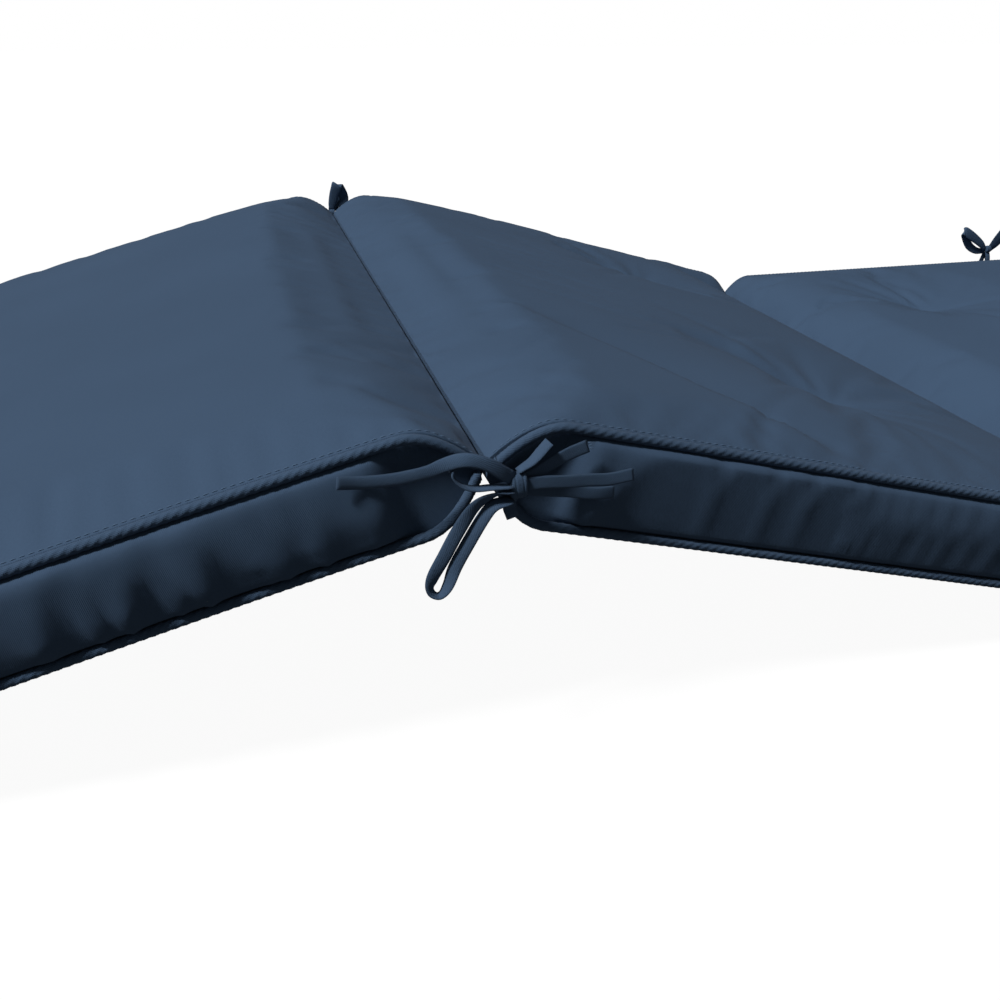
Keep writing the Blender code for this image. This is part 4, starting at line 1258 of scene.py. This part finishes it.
WEAVE = weave_group()
print("weave nodes:", len(WEAVE.nodes))

# %% The cloth and thread materials
ROUGHNESS = 0.86
SPECULAR = 0.12
SHEEN_ROUGHNESS = 0.5
TONE_RANGE = (0.25, 0.85)
COVER_NAVY = (0.0485, 0.0850, 0.1460)
TRIM_NAVY = (0.0515, 0.0900, 0.1540)
THREAD_NAVY = (0.0760, 0.1280, 0.2080)


def cloth_material(material, colour, spread, thread, relief, sheen):
    """A matte cotton: Base Color runs between two tones of colour, and the weave feeds the bump."""
    material.use_nodes = True
    tree = material.node_tree
    shader = tree.nodes["Principled BSDF"]
    shader.inputs["Roughness"].default_value = ROUGHNESS
    shader.inputs["Specular IOR Level"].default_value = SPECULAR
    shader.inputs["Sheen Weight"].default_value = sheen
    shader.inputs["Sheen Roughness"].default_value = SHEEN_ROUGHNESS
    weave = tree.nodes.new("ShaderNodeGroup")
    weave.node_tree = WEAVE
    weave.inputs["Thread"].default_value = thread
    ramp = tree.nodes.new("ShaderNodeValToRGB")
    for element, place, share in zip(ramp.color_ramp.elements, TONE_RANGE, (1 - spread, 1 + spread)):
        element.position = place
        element.color = (*[channel * share for channel in colour], 1)
    tree.links.new(weave.outputs["Tone"], ramp.inputs["Fac"])
    tree.links.new(ramp.outputs["Color"], shader.inputs["Base Color"])
    bump = tree.nodes.new("ShaderNodeBump")
    bump.inputs["Strength"].default_value = 1.0
    bump.inputs["Distance"].default_value = relief
    tree.links.new(weave.outputs["Height"], bump.inputs["Height"])
    tree.links.new(bump.outputs["Normal"], shader.inputs["Normal"])


cloth_material(COVER_CLOTH, COVER_NAVY, spread=0.10, thread=0.00042, relief=0.00006, sheen=0.02)
for trim in (PIPING_CLOTH, TIE_CLOTH):
    cloth_material(trim, TRIM_NAVY, spread=0.12, thread=0.0005, relief=0.00012, sheen=0.03)
cloth_material(THREAD, THREAD_NAVY, spread=0.10, thread=0.0003, relief=0.00004, sheen=0.05)
print("materials:", [m.name for m in (COVER_CLOTH, PIPING_CLOTH, TIE_CLOTH, THREAD)])

# %% [markdown]
# ## Floor and light
# The cushion lies on a plain pale floor, which glows a little, as a lit table in a studio does, so that
# only a faint shadow is left under the raised fold. One soft sun stands on the left, a little in front:
# it grazes the boxing, so the piping throws a thin shadow there and only what bulges out is lit, it
# brightens every slope that faces left and leaves the slopes that face right in shade. The world adds
# a weak fill, and its Light Path node shows the camera a plain white background instead.

# %% Floor, lamp and world
FLOOR_SIZE = 30.0
FLOOR_Z = -0.0006
TO_SUN = (-0.58, -0.17, 0.79)
SUN_STRENGTH = 3.4
SUN_SPREAD = math.radians(9)
FILL = 0.10
FLOOR_TONE = 0.07
FLOOR_GLOW = 0.95


def make_floor():
    """One large square just under the resting level."""
    corner = FLOOR_SIZE / 2
    points = [(-corner, -corner, FLOOR_Z), (corner, -corner, FLOOR_Z), (corner, corner, FLOOR_Z),
              (-corner, corner, FLOOR_Z)]
    floor = add_mesh("floor", points, [(0, 1, 2, 3)], smooth=False)
    paint = bpy.data.materials.new("floor_paint")
    paint.use_nodes = True
    shader = paint.node_tree.nodes["Principled BSDF"]
    shader.inputs["Base Color"].default_value = (FLOOR_TONE, FLOOR_TONE, FLOOR_TONE, 1)
    shader.inputs["Roughness"].default_value = 1.0
    shader.inputs["Specular IOR Level"].default_value = 0.0
    shader.inputs["Emission Color"].default_value = (1, 1, 1, 1)
    shader.inputs["Emission Strength"].default_value = FLOOR_GLOW
    floor.data.materials.append(paint)
    floor.visible_diffuse = False
    floor.visible_glossy = False


def make_sun():
    """A sun lamp turned so that its -Z points away from TO_SUN."""
    lamp = bpy.data.lights.new("sun", "SUN")
    lamp.energy = SUN_STRENGTH
    lamp.angle = SUN_SPREAD
    made = bpy.data.objects.new("sun", lamp)
    bpy.context.collection.objects.link(made)
    x, y, z = TO_SUN
    made.rotation_euler = (math.atan2(math.hypot(x, y), z), 0, math.atan2(x, -y))


def make_world():
    """White for the camera, FILL times white for everything the surfaces see."""
    world = bpy.data.worlds.new("studio")
    bpy.context.scene.world = world
    world.use_nodes = True
    tree = world.node_tree
    sky = tree.nodes["Background"]
    sky.inputs["Color"].default_value = (1, 1, 1, 1)
    view = tree.nodes.new("ShaderNodeLightPath")
    strength = tree.nodes.new("ShaderNodeMapRange")
    strength.inputs["To Min"].default_value = FILL
    strength.inputs["To Max"].default_value = 1.0
    tree.links.new(view.outputs["Is Camera Ray"], strength.inputs["Value"])
    tree.links.new(strength.outputs["Result"], sky.inputs["Strength"])


make_floor()
make_sun()
make_world()
bpy.context.scene.view_settings.view_transform = "Standard"
print("sun %.1f, fill %.2f" % (SUN_STRENGTH, FILL))
